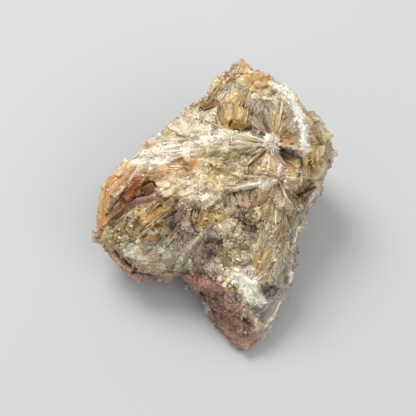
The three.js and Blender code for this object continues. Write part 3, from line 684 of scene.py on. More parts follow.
# Bands along a path on the crystal face: mineral, places (across, up), half width, height, strength of
# the colour.
BANDS = [
    ("snow", [(20.5, 36.8), (24.2, 32.6), (26.2, 28.6), (27.3, 24.4), (27.9, 21),
     (28.4, 17.8)], 2.1, 1.2, 1),
    ("white", [(18, 38), (21, 36), (22.6, 33.6)], 1.6, 0.5, 0.6),
    ("grey", [(-12.4, -20.4), (-10.2, -16.4), (-7.6, -12.8), (-4.4, -8.8)], 2.1, 1.9, 0.75),
    ("cream", [(-8.4, -13.6), (-6.2, -10.8), (-4, -8.6)], 0.6, 0.4, 0.6),
    ("grey", [(-7.2, -12.6), (-4, -11.2), (-1.6, -10.2), (1.8, -9.2)], 0.6, 0.6, 0.6),
    ("clay", [(-8.4, -22.9), (-2, -25), (4.4, -27.6)], 1.7, 1.5, 0.7),
    ("earth", [(-16, -22.4), (-12, -22.4), (-8.4, -22.9)], 1.5, 1.3, 0.7),
    ("white", [(3.4, -20.8), (8, -22.4), (12, -25), (14.4, -29.6)], 1.4, 0.7, 0.6),
    ("peach", [(-33.8, -14.8), (-31.8, -17.4), (-29.6, -19.6), (-27.2, -21)], 0.6, 0.7, 0.8),
    ("white", [(3.8, 4.6), (10, 6), (18.6, 7.6)], 0.5, 0.5, 0.9),
    ("cream", [(-24.3, -9.8), (-18.4, -5.2), (-12.6, -0.6)], 0.35, 0.5, 0.9),
    ("slate", [(26.4, -4), (24.6, -9), (23.4, -15), (21.4, -22), (19.8, -28), (16.8, -35),
     (13, -40)], 1.5, 0.3, 0.6),
    ("snow", [(27, -7.4), (25.3, -12), (24.9, -18), (23.4, -24)], 0.8, 0.9, 1),
    ("white", [(20.4, -30.6), (18.6, -34.6), (15.4, -38.6)], 0.5, 0.4, 0.8),
    # crevices: dents, whose umber and brown colour is painted shade
    ("umber", [(-32.2, -14.2), (-30.2, -16.8), (-27.8, -18.8), (-25.4, -20)], 0.5, -1.1, 0.85),
    ("umber", [(-26.4, -21.4), (-22.6, -21.8), (-19.4, -22.6)], 0.4, -0.8, 0.8),
    ("umber", [(20, 17.8), (23.6, 16.4), (26.4, 14.8), (26.9, 12.4), (26.2, 9.2)], 0.65, -0.5, 0.8),
    ("brown", [(28.8, 7.6), (32, 8), (34.6, 8.6)], 0.5, -0.7, 0.6),
    ("umber", [(-23.2, -10.4), (-17.6, -6.4), (-12.4, -1.8)], 0.45, -1.2, 0.8),
    ("umber", [(-34.4, -3.4), (-31.2, 0.8), (-28.4, 4.6), (-25.6, 8.4)], 0.45, -0.8, 0.55),
    ("umber", [(-28.4, 0.8), (-23.5, 2.8), (-18.6, 3.9)], 0.4, -0.3, 0.35),
    ("umber", [(3.2, 3.2), (9.4, 4.3), (17, 6.2)], 0.4, -0.8, 0.7),
    ("umber", [(4.6, 16.8), (9, 17.2), (15, 18)], 0.3, -0.6, 0.6),
    ("brown", [(15.6, 16.8), (11.6, 13.2), (8.6, 10.6)], 0.5, -0.7, 0.6),
    ("umber", [(5.6, 23.4), (8.2, 23), (11, 24.4)], 0.4, -0.8, 0.7),
    ("umber", [(-7.4, -0.8), (-8, -4.2), (-6.6, -7.8)], 0.4, -0.8, 0.6),
    ("umber", [(6.8, -1.8), (9.4, -3.6), (12.6, -3)], 0.5, -0.6, 0.5),
    ("umber", [(-4.8, -27.8), (-2, -29.4), (0.2, -29.8)], 0.6, -0.9, 0.6),
    ("umber", [(-8.6, -20.6), (-3.6, -22), (1, -23.6)], 0.4, -0.6, 0.6),
    ("umber", [(25.6, 2.6), (28.4, 4.8), (31.4, 5.6)], 0.7, -1.2, 0.7),
    ("umber", [(22.6, -4), (24.4, -9), (24, -16)], 0.4, -0.7, 0.5),
    ("ash", [(24.4, -8.6), (23.5, -13), (23.2, -19), (21.8, -25)], 0.5, -0.4, 0.6),
    ("brown", [(-0.6, 34), (3, 37), (5.6, 40.4), (8.4, 41)], 0.5, -0.4, 0.4),
    ("brown", [(9.6, 41.4), (10.6, 38.6), (13, 36.4), (16.6, 37.4)], 0.4, -0.4, 0.4),
]

# Foci inside the lump for the flanks and the back, in the row frame.
FLANK_FOCI = np.array(
    [
        (20, 14, 22), (-18, 6, 14), (4, 22, 30), (12, -12, 10), (-26, -8, 10), (26, 8, 8), (2, 14, 6),
        (-6, 24, 18), (18, 26, 12), (8, -30, 4), (-14, -10, 6), (22, -6, 4),
    ],
    dtype=float,
)


def laid_over(share, mineral, cover):
    """Covers a share of each place's minerals with one mineral."""
    share *= (1 - cover)[:, None]
    share[:, NUMBER[mineral]] += cover


def patch_weights(across, up, points):
    """Each mineral's share at places on the crystal face: soft ellipses laid over each other, with ragged
    edges."""
    share = np.zeros((len(across), len(MINERALS)))
    share[:, NUMBER["cream"]] = 1
    ragged = 0.22 * soft_noise(points, 2.2, 1) + 0.16 * soft_noise(points, 0.9, 2)
    for mineral, *zone, strength in PATCHES:
        distance = ellipse_distance(across, up, zone)
        laid_over(share, mineral, strength * (1 - smooth_step(0.72, 1.2, distance + ragged)))
    return share


def flank_weights(points):
    """Each mineral's share on the flanks and the back: fine-grained mass, with streaky bands of crystal in
    it."""
    share = np.zeros((len(points), len(MINERALS)))
    share[:, NUMBER["mauve"]] = 1
    band = soft_noise(points, 13, 5) + 0.5 * soft_noise(points, 5, 6)
    fleck = soft_noise(points, 3.2, 7) + 0.5 * soft_noise(points, 1.2, 8)
    green = soft_noise(points, 4, 9) + 0.4 * band
    pale = soft_noise(points, 3, 10) + 0.4 * band
    from_front = smooth_step(-18, -2, points[:, 1])
    laid_over(share, "earth", smooth_step(0.1, 0.6, -band))
    laid_over(share, "grey", smooth_step(0.0, 0.4, band + 0.3 * fleck))
    laid_over(share, "cream", 0.9 * smooth_step(0.2, 0.6, band + 0.4 * fleck) * from_front)
    laid_over(share, "honey", smooth_step(0.75, 1.0, fleck + 0.5 * band) * from_front)
    laid_over(share, "olive", smooth_step(0.55, 0.8, green) * smooth_step(-24, -8, points[:, 1]))
    laid_over(share, "white", smooth_step(0.7, 0.95, pale))
    laid_over(share, "umber", 0.8 * smooth_step(0.6, 0.9, -fleck))
    return share


def growth(points, normals, on_face):
    """Which way blades grow at each point: away from the focus that pulls hardest, along the surface.

    Gives the way, the distance along it, the distance across it, the number of the bundle, and a blade's
    usual length and width there."""
    across, up = to_face(points).T[:2]
    pull = np.zeros(len(points))
    focus = np.zeros_like(points)
    number = np.full(len(points), -1.0)
    length, width = (np.full(len(points), usual) for usual in PATCH_BLADE)
    for k, (focus_across, focus_up, *zone, weight, usual_length, usual_width) in enumerate(SPRAYS):
        reach = 1 - ellipse_distance(across, up, zone)
        strength = weight * reach + FAN_RAGGED * soft_noise(points, 3.0, 20 + k)
        wins = on_face & (strength > pull) & (reach > 0)
        pull = np.where(wins, strength, pull)
        focus[wins] = to_row(np.array([focus_across, focus_up, 0.0]))
        number[wins] = k
        length[wins] = usual_length
        width[wins] = usual_width
    behind = ~on_face
    uneven = np.stack([soft_noise(points, 6, 40 + k) for k in range(len(FLANK_FOCI))], -1)
    distance = np.linalg.norm(points[:, None] - FLANK_FOCI, axis=-1)
    nearest = (distance + BUNDLE_RAGGED * uneven).argmin(-1)
    focus[behind] = FLANK_FOCI[nearest[behind]]
    number[behind] = len(SPRAYS) + nearest[behind]
    way = points - focus
    cell = nearest_seed(points / PATCH_SIZE + PATCH_SHIFT)[0]
    loose = number < 0
    way[loose] = three_hashes(cell, 11)[loose] - 0.5
    number[loose] = LOOSE + np.floor(LOOSE_BUNDLES * hash_of(cell, 15))[loose]
    way -= (way * normals).sum(-1, keepdims=True) * normals
    radius = np.linalg.norm(way, axis=-1)
    way = unit(way)
    side = np.cross(normals, way)
    middle = to_face(focus)
    spoke_angle = np.arctan2(up - middle[:, 1], across - middle[:, 0])
    around = np.arctan2((points - focus)[:, 2], (points - focus)[:, 0])
    turned = np.where(behind, around, spoke_angle) * SPOKE_RADIUS
    along = np.where(loose, (points * way).sum(-1), radius)
    beside = np.where(loose, (points * side).sum(-1), turned)
    return way, along, beside, number, length, width


# --- Meshes ---


def linear(hex_colour):
    """An sRGB hex colour as linear red, green and blue."""
    parts = np.array([int(hex_colour[k : k + 2], 16) for k in (1, 3, 5)]) / 255
    return np.where(parts <= 0.04045, parts / 12.92, ((parts + 0.055) / 1.055) ** 2.4)


def mineral_colours():
    """The minerals' linear colours, as set in the sidebar."""
    palette = bpy.context.scene.gypsum_colours
    return np.array([list(getattr(palette, name)) for name in MINERAL_NAMES])


def mineral_values(column):
    """One of the numbers of every mineral, in order."""
    return np.array([facts[column] for facts in MINERALS.values()])


def add_piece(name, points, quads, values, material, bake_map):
    """Puts points and quads into a mesh that rides on the lump, with its values at each vertex."""
    old = bpy.data.objects.get(name)
    if old:
        bpy.data.objects.remove(old)
    mesh = bpy.data.meshes.new(name)
    count = len(quads)
    mesh.vertices.add(len(points))
    mesh.vertices.foreach_set("co", (points * MM).astype(np.float32).ravel())
    mesh.loops.add(count * 4)
    mesh.loops.foreach_set("vertex_index", quads.astype(np.int32).ravel())
    mesh.polygons.add(count)
    mesh.polygons.foreach_set("loop_start", np.arange(count, dtype=np.int32) * 4)
    mesh.polygons.foreach_set("use_smooth", np.zeros(count, bool))
    mesh.update(calc_edges=True)
    tint = np.concatenate([values["tint"], np.ones((len(points), 1))], -1)
    for key, kind, field, numbers in (
        ("tint", "FLOAT_COLOR", "color", tint),
        ("streak", "FLOAT_VECTOR", "vector", values["streak"]),
        ("rough", "FLOAT", "value", values["rough"]),
        ("grain", "FLOAT", "value", values["grain"]),
    ):
        layer = mesh.attributes.new(key, kind, "POINT")
        layer.data.foreach_set(field, numbers.astype(np.float32).ravel())
    mesh.uv_layers.new(name="OFBake").uv.foreach_set("vector", bake_map.astype(np.float32).ravel())
    if mesh.validate():
        raise RuntimeError(f"{name}: its mesh had faulty faces")
    mesh.materials.append(material)
    piece = bpy.data.objects.new(name, mesh)
    bpy.context.scene.collection.objects.link(piece)
    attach(piece, BODY)
    return piece


def blade_steps(along, beside, bundle, length, width, seed):
    """Steps between blades: columns across the growth, cut into pieces along it, each piece with its own
    height and its own slopes. Gives the height, from about -1 to 1, and each point's piece."""
    column = beside / width
    cell = np.stack([np.floor(column), np.zeros(len(column)), bundle + seed], -1)
    row = along / length + hash_of(cell, 1)
    cell[:, 1] = np.floor(row)
    height = 2 * hash_of(cell, 2) - 1
    height += 1.6 * (column - cell[:, 0] - 0.5) * (hash_of(cell, 3) - 0.5)
    height += 1.2 * (row - cell[:, 1] - 0.5) * (hash_of(cell, 4) - 0.5)
    return height, cell


def blurred(grid, times):
    """A grid averaged over each cell and its four neighbours, so many times."""
    for _ in range(times):
        padded = np.pad(grid, 1, mode="edge")
        grid = (grid + padded[:-2, 1:-1] + padded[2:, 1:-1] + padded[1:-1, :-2] + padded[1:-1, 2:]) / 5
    return grid


def rim_share(across, up):
    """How far out places on the crystal face are, with 1 on the rim."""
    return np.hypot(across, up) / np.hypot(*spoke(RIM, np.arctan2(up, across)).T[:2])


def level_at(level, across, up):
    """The level of the smoothed crystal face at these places, read between the lines of its grid."""
    share = np.minimum(rim_share(across, up), 0.995)
    u, v = disc_to_square(share, np.arctan2(up, across))
    column = np.clip((u + 1) / 2 * CELLS, 0, CELLS - 1e-6)
    row = np.clip((v + 1) / 2 * CELLS, 0, CELLS - 1e-6)
    i, j = column.astype(int), row.astype(int)
    near = mix(level[j, i], level[j, i + 1], column - i)
    far = mix(level[j + 1, i], level[j + 1, i + 1], column - i)
    return mix(near, far, row - j)


@functools.cache
def single_crystals():
    """Rows like those of CRYSTALS for the crystals of the fans, evenly spread with a little jitter, then
    CRYSTALS."""
    draws = np.random.default_rng(30)
    rows = []
    for across, up, first, last, shortest, longest, count, lift, minerals in FANS:
        span = longest - shortest
        for k in range(count):
            angle = math.radians(first + (last - first) * (k + draws.uniform(0.2, 0.8)) / count)
            near = shortest + span * draws.uniform(0, 0.25)
            far = longest - span * draws.uniform(0, 0.3)
            gap = math.radians(abs(last - first)) / count * (near + far) / 2
            way = np.array([math.cos(angle), math.sin(angle)])
            root, tip = np.array([across, up]) + way * near, np.array([across, up]) + way * far
            width = gap * draws.uniform(0.9, 1.5)
            roll = draws.choice([-1, 1]) * draws.uniform(8, 32)
            form = "spear" if draws.uniform() < 0.4 else "plate"
            stands_out = lift * draws.uniform(0.4, 1.6)
            rows.append((minerals[k % len(minerals)], *root, *tip, width, roll, stands_out, form))
    return rows + CRYSTALS


def lane_level(left, width, number):
    """Cleavage steps side by side along a crystal: the level of each place's lane, from -0.5 to 0.5."""
    lane = np.floor(left / width)
    return hash_of(np.stack([lane, np.full(len(lane), number), np.zeros(len(lane))], -1), 8) - 0.5


def cut_crystals(face_points, level, relief, skin):
    """Cuts the broad single crystals into the crystal face as facets with cleavage steps.

    A facet lies on the line between its two places on the smoothed face, at its height and roll. Inside its
    outline the surface is moved onto it, with a share of its old relief. The skin's colour, roughness, grain
    and streaks change with it."""
    across, up, out = face_points.T.copy()
    colours, roughness = mineral_colours(), mineral_values(ROUGHNESS)
    edge = 1 - 0.7 * smooth_step(0.93, 1.0, rim_share(across, up))
    wobble = 0.3 * soft_noise(face_points, 1.2, 40)
    mottle = 0.14 * soft_noise(face_points, 1.3, 42) + 0.1 * soft_noise(face_points, 0.6, 43)
    for k, (mineral, a0, b0, a1, b1, width, roll, lift, form) in enumerate(single_crystals()):
        if width < SLENDER:
            continue
        length = math.hypot(a1 - a0, b1 - b0)
        way_a, way_b = (a1 - a0) / length, (b1 - b0) / length
        at = np.flatnonzero(np.hypot(across - (a0 + a1) / 2, up - (b0 + b1) / 2) < length / 2 + width)
        ahead = (across[at] - a0) * way_a + (up[at] - b0) * way_b
        left = (up[at] - b0) * way_a - (across[at] - a0) * way_b
        odds = hash_of(np.array([[k, 3, 7]]), 1)[0] - 0.5
        rough = roughness[NUMBER[mineral]]
        lanes, lane_share, old_relief = (2, 0.5, 0.1) if rough < GLOSSY else (3, 1, 0.25)
        step = lane_share * lane_level(left + 0.04 * ahead, max(0.5, width / lanes), k)
        slid = ahead + left * odds + wobble[at] + 0.6 * width * step
        sections = np.array(FORMS[form])
        half = np.interp(slid / length, sections[:, 0], sections[:, 1]) * width / 2
        inside = np.minimum(half - np.abs(left), np.minimum(slid, length - slid))
        weight = smooth_step(-FACET_EDGE, FACET_EDGE, inside) * edge[at]
        ends = level_at(level, np.array([a0, a1]), np.array([b0, b1]))
        target = ends[0] + (ends[1] - ends[0]) * ahead / length
        target = target + FACET_LIFT * lift + math.tan(math.radians(FACET_TILT * roll)) * left
        target = target + FACET_STEPS * step + old_relief * relief[at]
        out[at] = mix(out[at], target, weight)
        side_light = 0.5 * odds * left / width
        shade = 1 + 0.3 * odds + 0.2 * step + side_light + 1.3 * mottle[at] + 0.16 * (ahead / length - 0.5)
        weight = 0.85 * weight
        depth = smooth_step(0.0, 0.45 * width, inside) - 0.5
        own = colours[NUMBER[mineral]] ** (1 + DEPTH_TINT * depth[:, None]) * shade[:, None]
        skin["tint"][at] = mix(skin["tint"][at], own, weight[:, None])
        skin["rough"][at] = mix(skin["rough"][at], rough - POLISH, weight)
        skin["grain"][at] *= 1 - weight
        own_streak = np.stack([ahead, left, np.full(len(at), 9.1 * k)], -1)
        skin["streak"][at] = np.where(weight[:, None] > 0.4, own_streak, skin["streak"][at])
    return np.stack([across, up, out], -1)


def raise_bands(face_points, relief, skin):
    """Raises rounded, ribbed bands along their paths on the crystal face, and gives the skin their
    colour."""
    across, up, out = face_points.T.copy()
    ragged = 0.35 * soft_noise(face_points, 1.6, 44) + 0.25 * soft_noise(face_points, 0.7, 45)
    for mineral, places, half_width, height, strength in BANDS:
        places = np.array(places, float)
        runs = zip(places[:-1], places[1:])
        nearest = functools.reduce(np.minimum, (line_distance(across, up, *run) for run in runs))
        aside = nearest / half_width + ragged
        inner = 1 - smooth_step(0.5, 1.1, aside)
        out += height * (1 - smooth_step(0.1, 1, aside))
        if height > 0:
            out -= 0.6 * strength * relief * inner
        cover = strength * inner
        skin["tint"][:] = mix(skin["tint"], mineral_colours()[NUMBER[mineral]], cover[:, None])
        skin["bare"][:] = np.maximum(skin["bare"], cover)
    return np.stack([across, up, out], -1)


def bare_skin(points, minerals, grain, cell, slab, along, beside, bundle):
    """The lump's values before single crystals are cut into it.

    Crystal has one mineral per blade, drawn from the shares there, mixed with their mean, and each blade its
    own shade. Fine-grained mass has the mean colour with a mottle."""
    colours = mineral_colours()
    draw = 0.45 * hash_of(cell, 4) + 0.3 * hash_of(slab, 4) + 0.25 * hash_of(np.floor(points / 0.8), 5)
    crisp = colours[picked_minerals(minerals, draw)]
    mean = minerals @ colours
    mottle = 1 + 0.28 * soft_noise(points, 1.1, 17) + 0.2 * soft_noise(points, 0.55, 18)
    blade = 0.84 + 0.32 * hash_of(cell, 6)
    warmth = soft_noise(points, 1.9, 48) + 0.8 * (hash_of(slab, 9) - 0.5) + 0.6 * (hash_of(cell, 9) - 0.5)
    tint = mix(mix(mean, crisp, 0.6) * blade[:, None], mean * mottle[:, None], grain[:, None])
    return {
        "tint": tint * (1 + warmth[:, None] * STAINING),
        "streak": np.stack([along, beside, bundle * 7.7], -1),
        "rough": minerals @ mineral_values(ROUGHNESS) + 0.1 * soft_noise(points, 1.5, 19),
        "grain": grain.copy(),
        "bare": np.zeros(len(points)),
    }


def busyness(across, up):
    """How strong the relief is at places on the crystal face, 1 being usual."""
    factor = np.ones(len(across))
    for *zone, strength in CALM_PLACES:
        factor *= 1 + (strength - 1) * (1 - smooth_step(0.6, 1.2, ellipse_distance(across, up, zone)))
    return factor


def two_grids():
    """The concentric grid of the crystal face, and with it that of the flanks and the foot, which shares
    its border: the coordinates, shares and angles, which places lie inside it, and the quads of both."""
    line = np.linspace(-1, 1, CELLS + 1)
    u, v = (grid.ravel() for grid in np.meshgrid(line, line))
    share, angle = square_to_disc(u, v)
    inside = (np.abs(u) < 1) & (np.abs(v) < 1)
    front = np.arange(len(u))
    behind = front.copy()
    behind[inside] = len(u) + np.arange(inside.sum())
    grid = front.reshape(CELLS + 1, CELLS + 1)
    corners = np.stack([grid[:-1, :-1], grid[:-1, 1:], grid[1:, 1:], grid[1:, :-1]], -1).reshape(-1, 4)
    quads = np.concatenate([corners, behind[corners][:, ::-1]])
    return np.stack([u, v], -1), share, angle, inside, quads


@functools.cache
def lump():
    """The lump's closed surface, with what grows at each of its points.

    Shards, then blade steps or grains, move each point along the plain surface's normal, less and less
    towards the floor."""
    grid_uv, share, angle, inside, quads = two_grids()
    front_count = len(share)
    plain = np.concatenate([front_sheet(share, angle), back_sheet(share, angle)[inside]])
    normals = vertex_normals(plain, quads)
    down = np.concatenate([np.zeros(front_count), (1 - share[inside]) / (1 - FOOT_SHARE)])
    height = sum(shard_height(plain, sizes) for sizes in SHARD_SIZES)
    fade = smooth_step(0, FADE_HEIGHT, plain[:, 2])
    rough = plain + normals * (height * fade)[:, None]

    on_face = down < FACE_WRAP
    across, up = to_face(rough).T[:2]
    turn_to_flank = smooth_step(0.05, 0.3, down + 0.08 * soft_noise(rough, 3, 12))[:, None]
    minerals = mix(patch_weights(across, up, rough), flank_weights(rough), turn_to_flank)
    way, along, beside, bundle, length, width = growth(rough, normals, on_face)
    grain = minerals @ mineral_values(GRAIN)

    longer, wider, height = NARROW_STEPS
    steps, cell = blade_steps(along, beside, bundle, longer * length, wider * width, 0)
    blades = height * width * steps
    longer, wider, height = BROAD_STEPS
    slabs, slab = blade_steps(along, beside, bundle, longer * length, wider * width, 50)
    blades = blades + height * width * slabs
    pits = smooth_step(0.25, 0.7, soft_noise(rough, 1.5, 13) + 0.4 * soft_noise(rough, 0.8, 14))
    clayey = minerals[:, NUMBER["clay"]] + 0.6 * minerals[:, NUMBER["earth"]]
    grains = (shard_height(rough, GRAIN_SHARDS) - PIT_DEPTH * pits) * (1 - 0.6 * clayey)
    fine = sum(shard_height(rough, sizes) for sizes in FINE_SHARDS)
    loose = bundle >= LOOSE
    fine[loose] += shard_height(rough[loose], LOOSE_SHARDS)
    blades[loose] *= LOOSE_STEPS
    above_floor = smooth_step(0, STEP_FADE, plain[:, 2])
    glassy = 0.3 + 0.7 * np.maximum(grain, minerals @ mineral_values(COVER))
    in_front = np.concatenate([share, np.zeros(inside.sum())])
    rimness = np.where(down > 0, 1 - smooth_step(0.04, 0.16, down), smooth_step(0.84, 0.97, in_front))
    relief = (blades * (1 - grain) + grains * grain + fine) * glassy * above_floor
    relief = relief * (1 - RIM_CALM * rimness)
    busy = np.where(on_face, busyness(across, up), 1)
    relief = relief * busy
    points = rough + normals * relief[:, None]
    dents = 0.5 * np.maximum(0, soft_noise(rough, 6, 15)) + 0.12 * np.maximum(0, soft_noise(rough, 1.2, 16))
    points[:, 2] = np.maximum(points[:, 2], 0) + dents * (1 - above_floor)

    skin = bare_skin(rough, minerals, grain, cell, slab, along, beside, bundle)
    mean = minerals @ mineral_colours()
    skin["tint"] = np.maximum(mean + (skin["tint"] - mean) * busy[:, None], 0.3 * mean)
    # painted light and shade: the tint is darker where the relief is low and lighter where it is high
    painted_relief_shading = np.clip(relief / 0.6, -1.6 * np.minimum(busy, 1), 1)
    skin["tint"] *= (1 + (CREVICE_SHADE[0] - CREVICE_SHADE[1] * grain) * painted_relief_shading)[:, None]
    level = blurred(to_face(rough[:front_count])[:, 2].reshape(CELLS + 1, CELLS + 1), SMOOTHING)
    front_skin = {key: value[:front_count] for key, value in skin.items()}
    cut = cut_crystals(to_face(points[:front_count]), level, relief[:front_count], front_skin)
    points[:front_count] = to_row(raise_bands(cut, relief[:front_count], front_skin))
    return SimpleNamespace(
        points=points,
        quads=quads,
        normals=normals,
        area=vertex_areas(points, quads),
        grid_uv=grid_uv,
        level=level,
        on_face=on_face,
        down=down,
        rimness=rimness,
        busy=busy,
        minerals=minerals,
        grain=grain,
        skin=skin,
        way=way,
        bundle=bundle,
        cell=cell,
        length=length,
        width=width,
    )


def on_the_face(across, up):
    """The points of the smoothed crystal face at these places."""
    return to_row(np.stack([across, up, level_at(lump().level, across, up)], -1))


def picked_minerals(shares, draw):
    """The number of the mineral that a draw from 0 to 1 falls on, when shares are laid end to end."""
    ends = np.cumsum(shares, -1)
    return np.minimum((draw[:, None] * ends[:, -1:] > ends).sum(-1), shares.shape[-1] - 1)


class GYPSUM_OT_lump(bpy.types.Operator):
    """Builds the lump that everything grows on, in place of the CAD solid"""

    bl_idname = "gypsum.lump"
    bl_label = "Lump"

    def execute(self, context):
        whole = lump()
        values = whole.skin | {"tint": np.clip(whole.skin["tint"], 0, 1)}
        uv = (whole.grid_uv + 1) / 2
        first = whole.quads[: len(whole.quads) // 2]
        half = np.array([0.5, 1.0])
        bake_map = np.concatenate([uv[first] * half, (uv[first] * half + [0.5, 0])[:, ::-1]])
        piece = add_piece(
            "gypsum_lump", whole.points, whole.quads, values, mass_material(), bake_map
        )
        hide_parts(CAD_NODE)
        return {"FINISHED"}


# --- Blades, needles, flakes and crumbs ---

# Sections along a blade: how far along, share of its width, share of its thickness.
BROAD_SECTIONS = [(0, 0.7, 0.6), (0.1, 1, 1), (0.88, 0.95, 1), (1, 0.7, 0.6)]
FINE_SECTIONS = [(0, 0.7, 0.7), (0.75, 1, 1), (1, 0.35, 0.4)]
TABLET_SECTIONS = [(0, 1, 1), (1, 0.45, 0.8)]
SHARD_SECTIONS = [(0, 0.7, 0.8), (0.3, 1, 1), (1, 0.5, 0.6)]
FORMS = {
    "plate": [
        (0, 0.7, 0.5), (0.06, 0.95, 0.9), (0.35, 1.04, 1), (0.7, 0.96, 1), (0.94, 0.86, 0.9), (1, 0.6, 0.5),
    ],
    "spear": [
        (0, 0.5, 0.5), (0.1, 0.85, 0.9), (0.35, 1, 1), (0.65, 0.82, 1), (0.88, 0.45, 0.8), (1, 0.08, 0.3),
    ],
    "block": [(0, 0.8, 0.7), (0.1, 1, 1), (0.4, 0.95, 1), (0.7, 1, 0.95), (0.9, 0.96, 1), (1, 0.7, 0.7)],
}
CORNERS = np.array([[0.5, 0.5], [-0.5, 0.5], [-0.5, -0.5], [0.5, -0.5]])  # of a section one wide and thick
FREE_RIM = 0.96  # blades end before this share of the way out to the rim,
FREE_FLOOR = 0.4  # and above this height over the floor


def blade_faces(sections):
    """The quads of one blade, facing out, and their places on a tile of the bake map."""
    quads, places = [], []
    for s in range(sections - 1):
        low, high = s / (sections - 1), (s + 1) / (sections - 1)
        for c in range(4):
            after = (c + 1) % 4
            quads.append((s * 4 + c, s * 4 + after, s * 4 + 4 + after, s * 4 + 4 + c))
            bottom, top = 0.2 * c, 0.2 * c + 0.2
            places.append([(low, bottom), (low, top), (high, top), (high, bottom)])
    last = (sections - 1) * 4
    quads += [(3, 2, 1, 0), (last, last + 1, last + 2, last + 3)]
    places += [[(x, 0.82), (x + 0.45, 0.82), (x + 0.45, 1), (x, 1)] for x in (0, 0.5)]
    return np.array(quads), np.array(places)


def turned_about(vectors, axes, angle):
    """Vectors turned about axes at right angles to them: cosine times the vector plus sine times the cross
    product."""
    return vectors * np.cos(angle)[:, None] + np.cross(axes, vectors) * np.sin(angle)[:, None]


def square_to(vectors, axes):
    """The part of each vector at right angles to its axis, made one long."""
    return unit(vectors - (vectors * axes).sum(-1, keepdims=True) * axes)


def blade_shapes(start, end, face, width, thick, slant, sections):
    """Box-section blades, all at once.

    A section stands every so far along the line from start to end. Its corners lie half a width to each
    side and half a thickness to each face, times the section's shares, and the slant slides them along."""
    line = end - start
    along = unit(line)
    side = unit(np.cross(face, along))
    upward = np.cross(along, side)
    count, table = len(start), np.array(sections)
    ahead, wide, deep = table.T[:, None, :, None]
    across = CORNERS[:, 0] * (width[:, None, None] * wide)
    depth = CORNERS[:, 1] * (thick[:, None, None] * deep)
    points = start[:, None, None] + line[:, None, None] * ahead[..., None]
    points = points + side[:, None, None] * across[..., None] + upward[:, None, None] * depth[..., None]
    points = points + along[:, None, None] * (slant[:, None, None] * across)[..., None]
    quads, places = blade_faces(len(table))
    faces = quads + (np.arange(count) * len(table) * 4)[:, None, None]
    tiles = math.ceil(math.sqrt(count))
    tile = np.stack([np.arange(count) % tiles, np.arange(count) // tiles], -1) / tiles
    bake_map = tile[:, None, None] + (places * 0.9 + 0.05) / tiles
    run = np.linalg.norm(line, axis=-1)[:, None, None] * ahead
    apart = (np.arange(count) * 3.1)[:, None, None]
    streak = np.stack(np.broadcast_arrays(run, across + depth, apart), -1)
    return points.reshape(-1, 3), faces.reshape(-1, 4), bake_map.reshape(-1, 2), streak.reshape(-1, 3)


def blade_values(tint, rough, streak, sections, grain=0.0, fade=0.25):
    """Each blade's own colour and roughness at all its corners, a little darker at its root."""
    shade = 1 - fade + 2 * fade * np.array(sections)[:, 0]
    corners = len(sections) * 4
    colour = tint[:, None, None] * shade[None, :, None, None] * np.ones((1, 1, 4, 1))
    return {
        "tint": np.clip(colour.reshape(-1, 3), 0, 1),
        "streak": streak,
        "rough": np.repeat(rough, corners),
        "grain": np.full(len(tint) * corners, grain),
    }


@functools.cache
def free_of_crystals():
    """0 under a single crystal's middle and 1 away from it, at each point of the lump."""
    across, up = to_face(lump().points).T[:2]
    free = np.ones(len(across))
    for _, a0, b0, a1, b1, width, *_ in single_crystals():
        distance = line_distance(across, up, np.array([a0, b0]), np.array([a1, b1]))
        free *= 0.1 + 0.9 * smooth_step(0.35 * width, 0.5 * width + 0.6, distance)
    return free * (1 - lump().skin["bare"])


def scattered(draws, count, where):
    """Vertices of the lump, drawn in step with the area and the share that each stands for."""
    weight = lump().area * where
    return draws.choice(len(weight), count, p=weight / weight.sum())


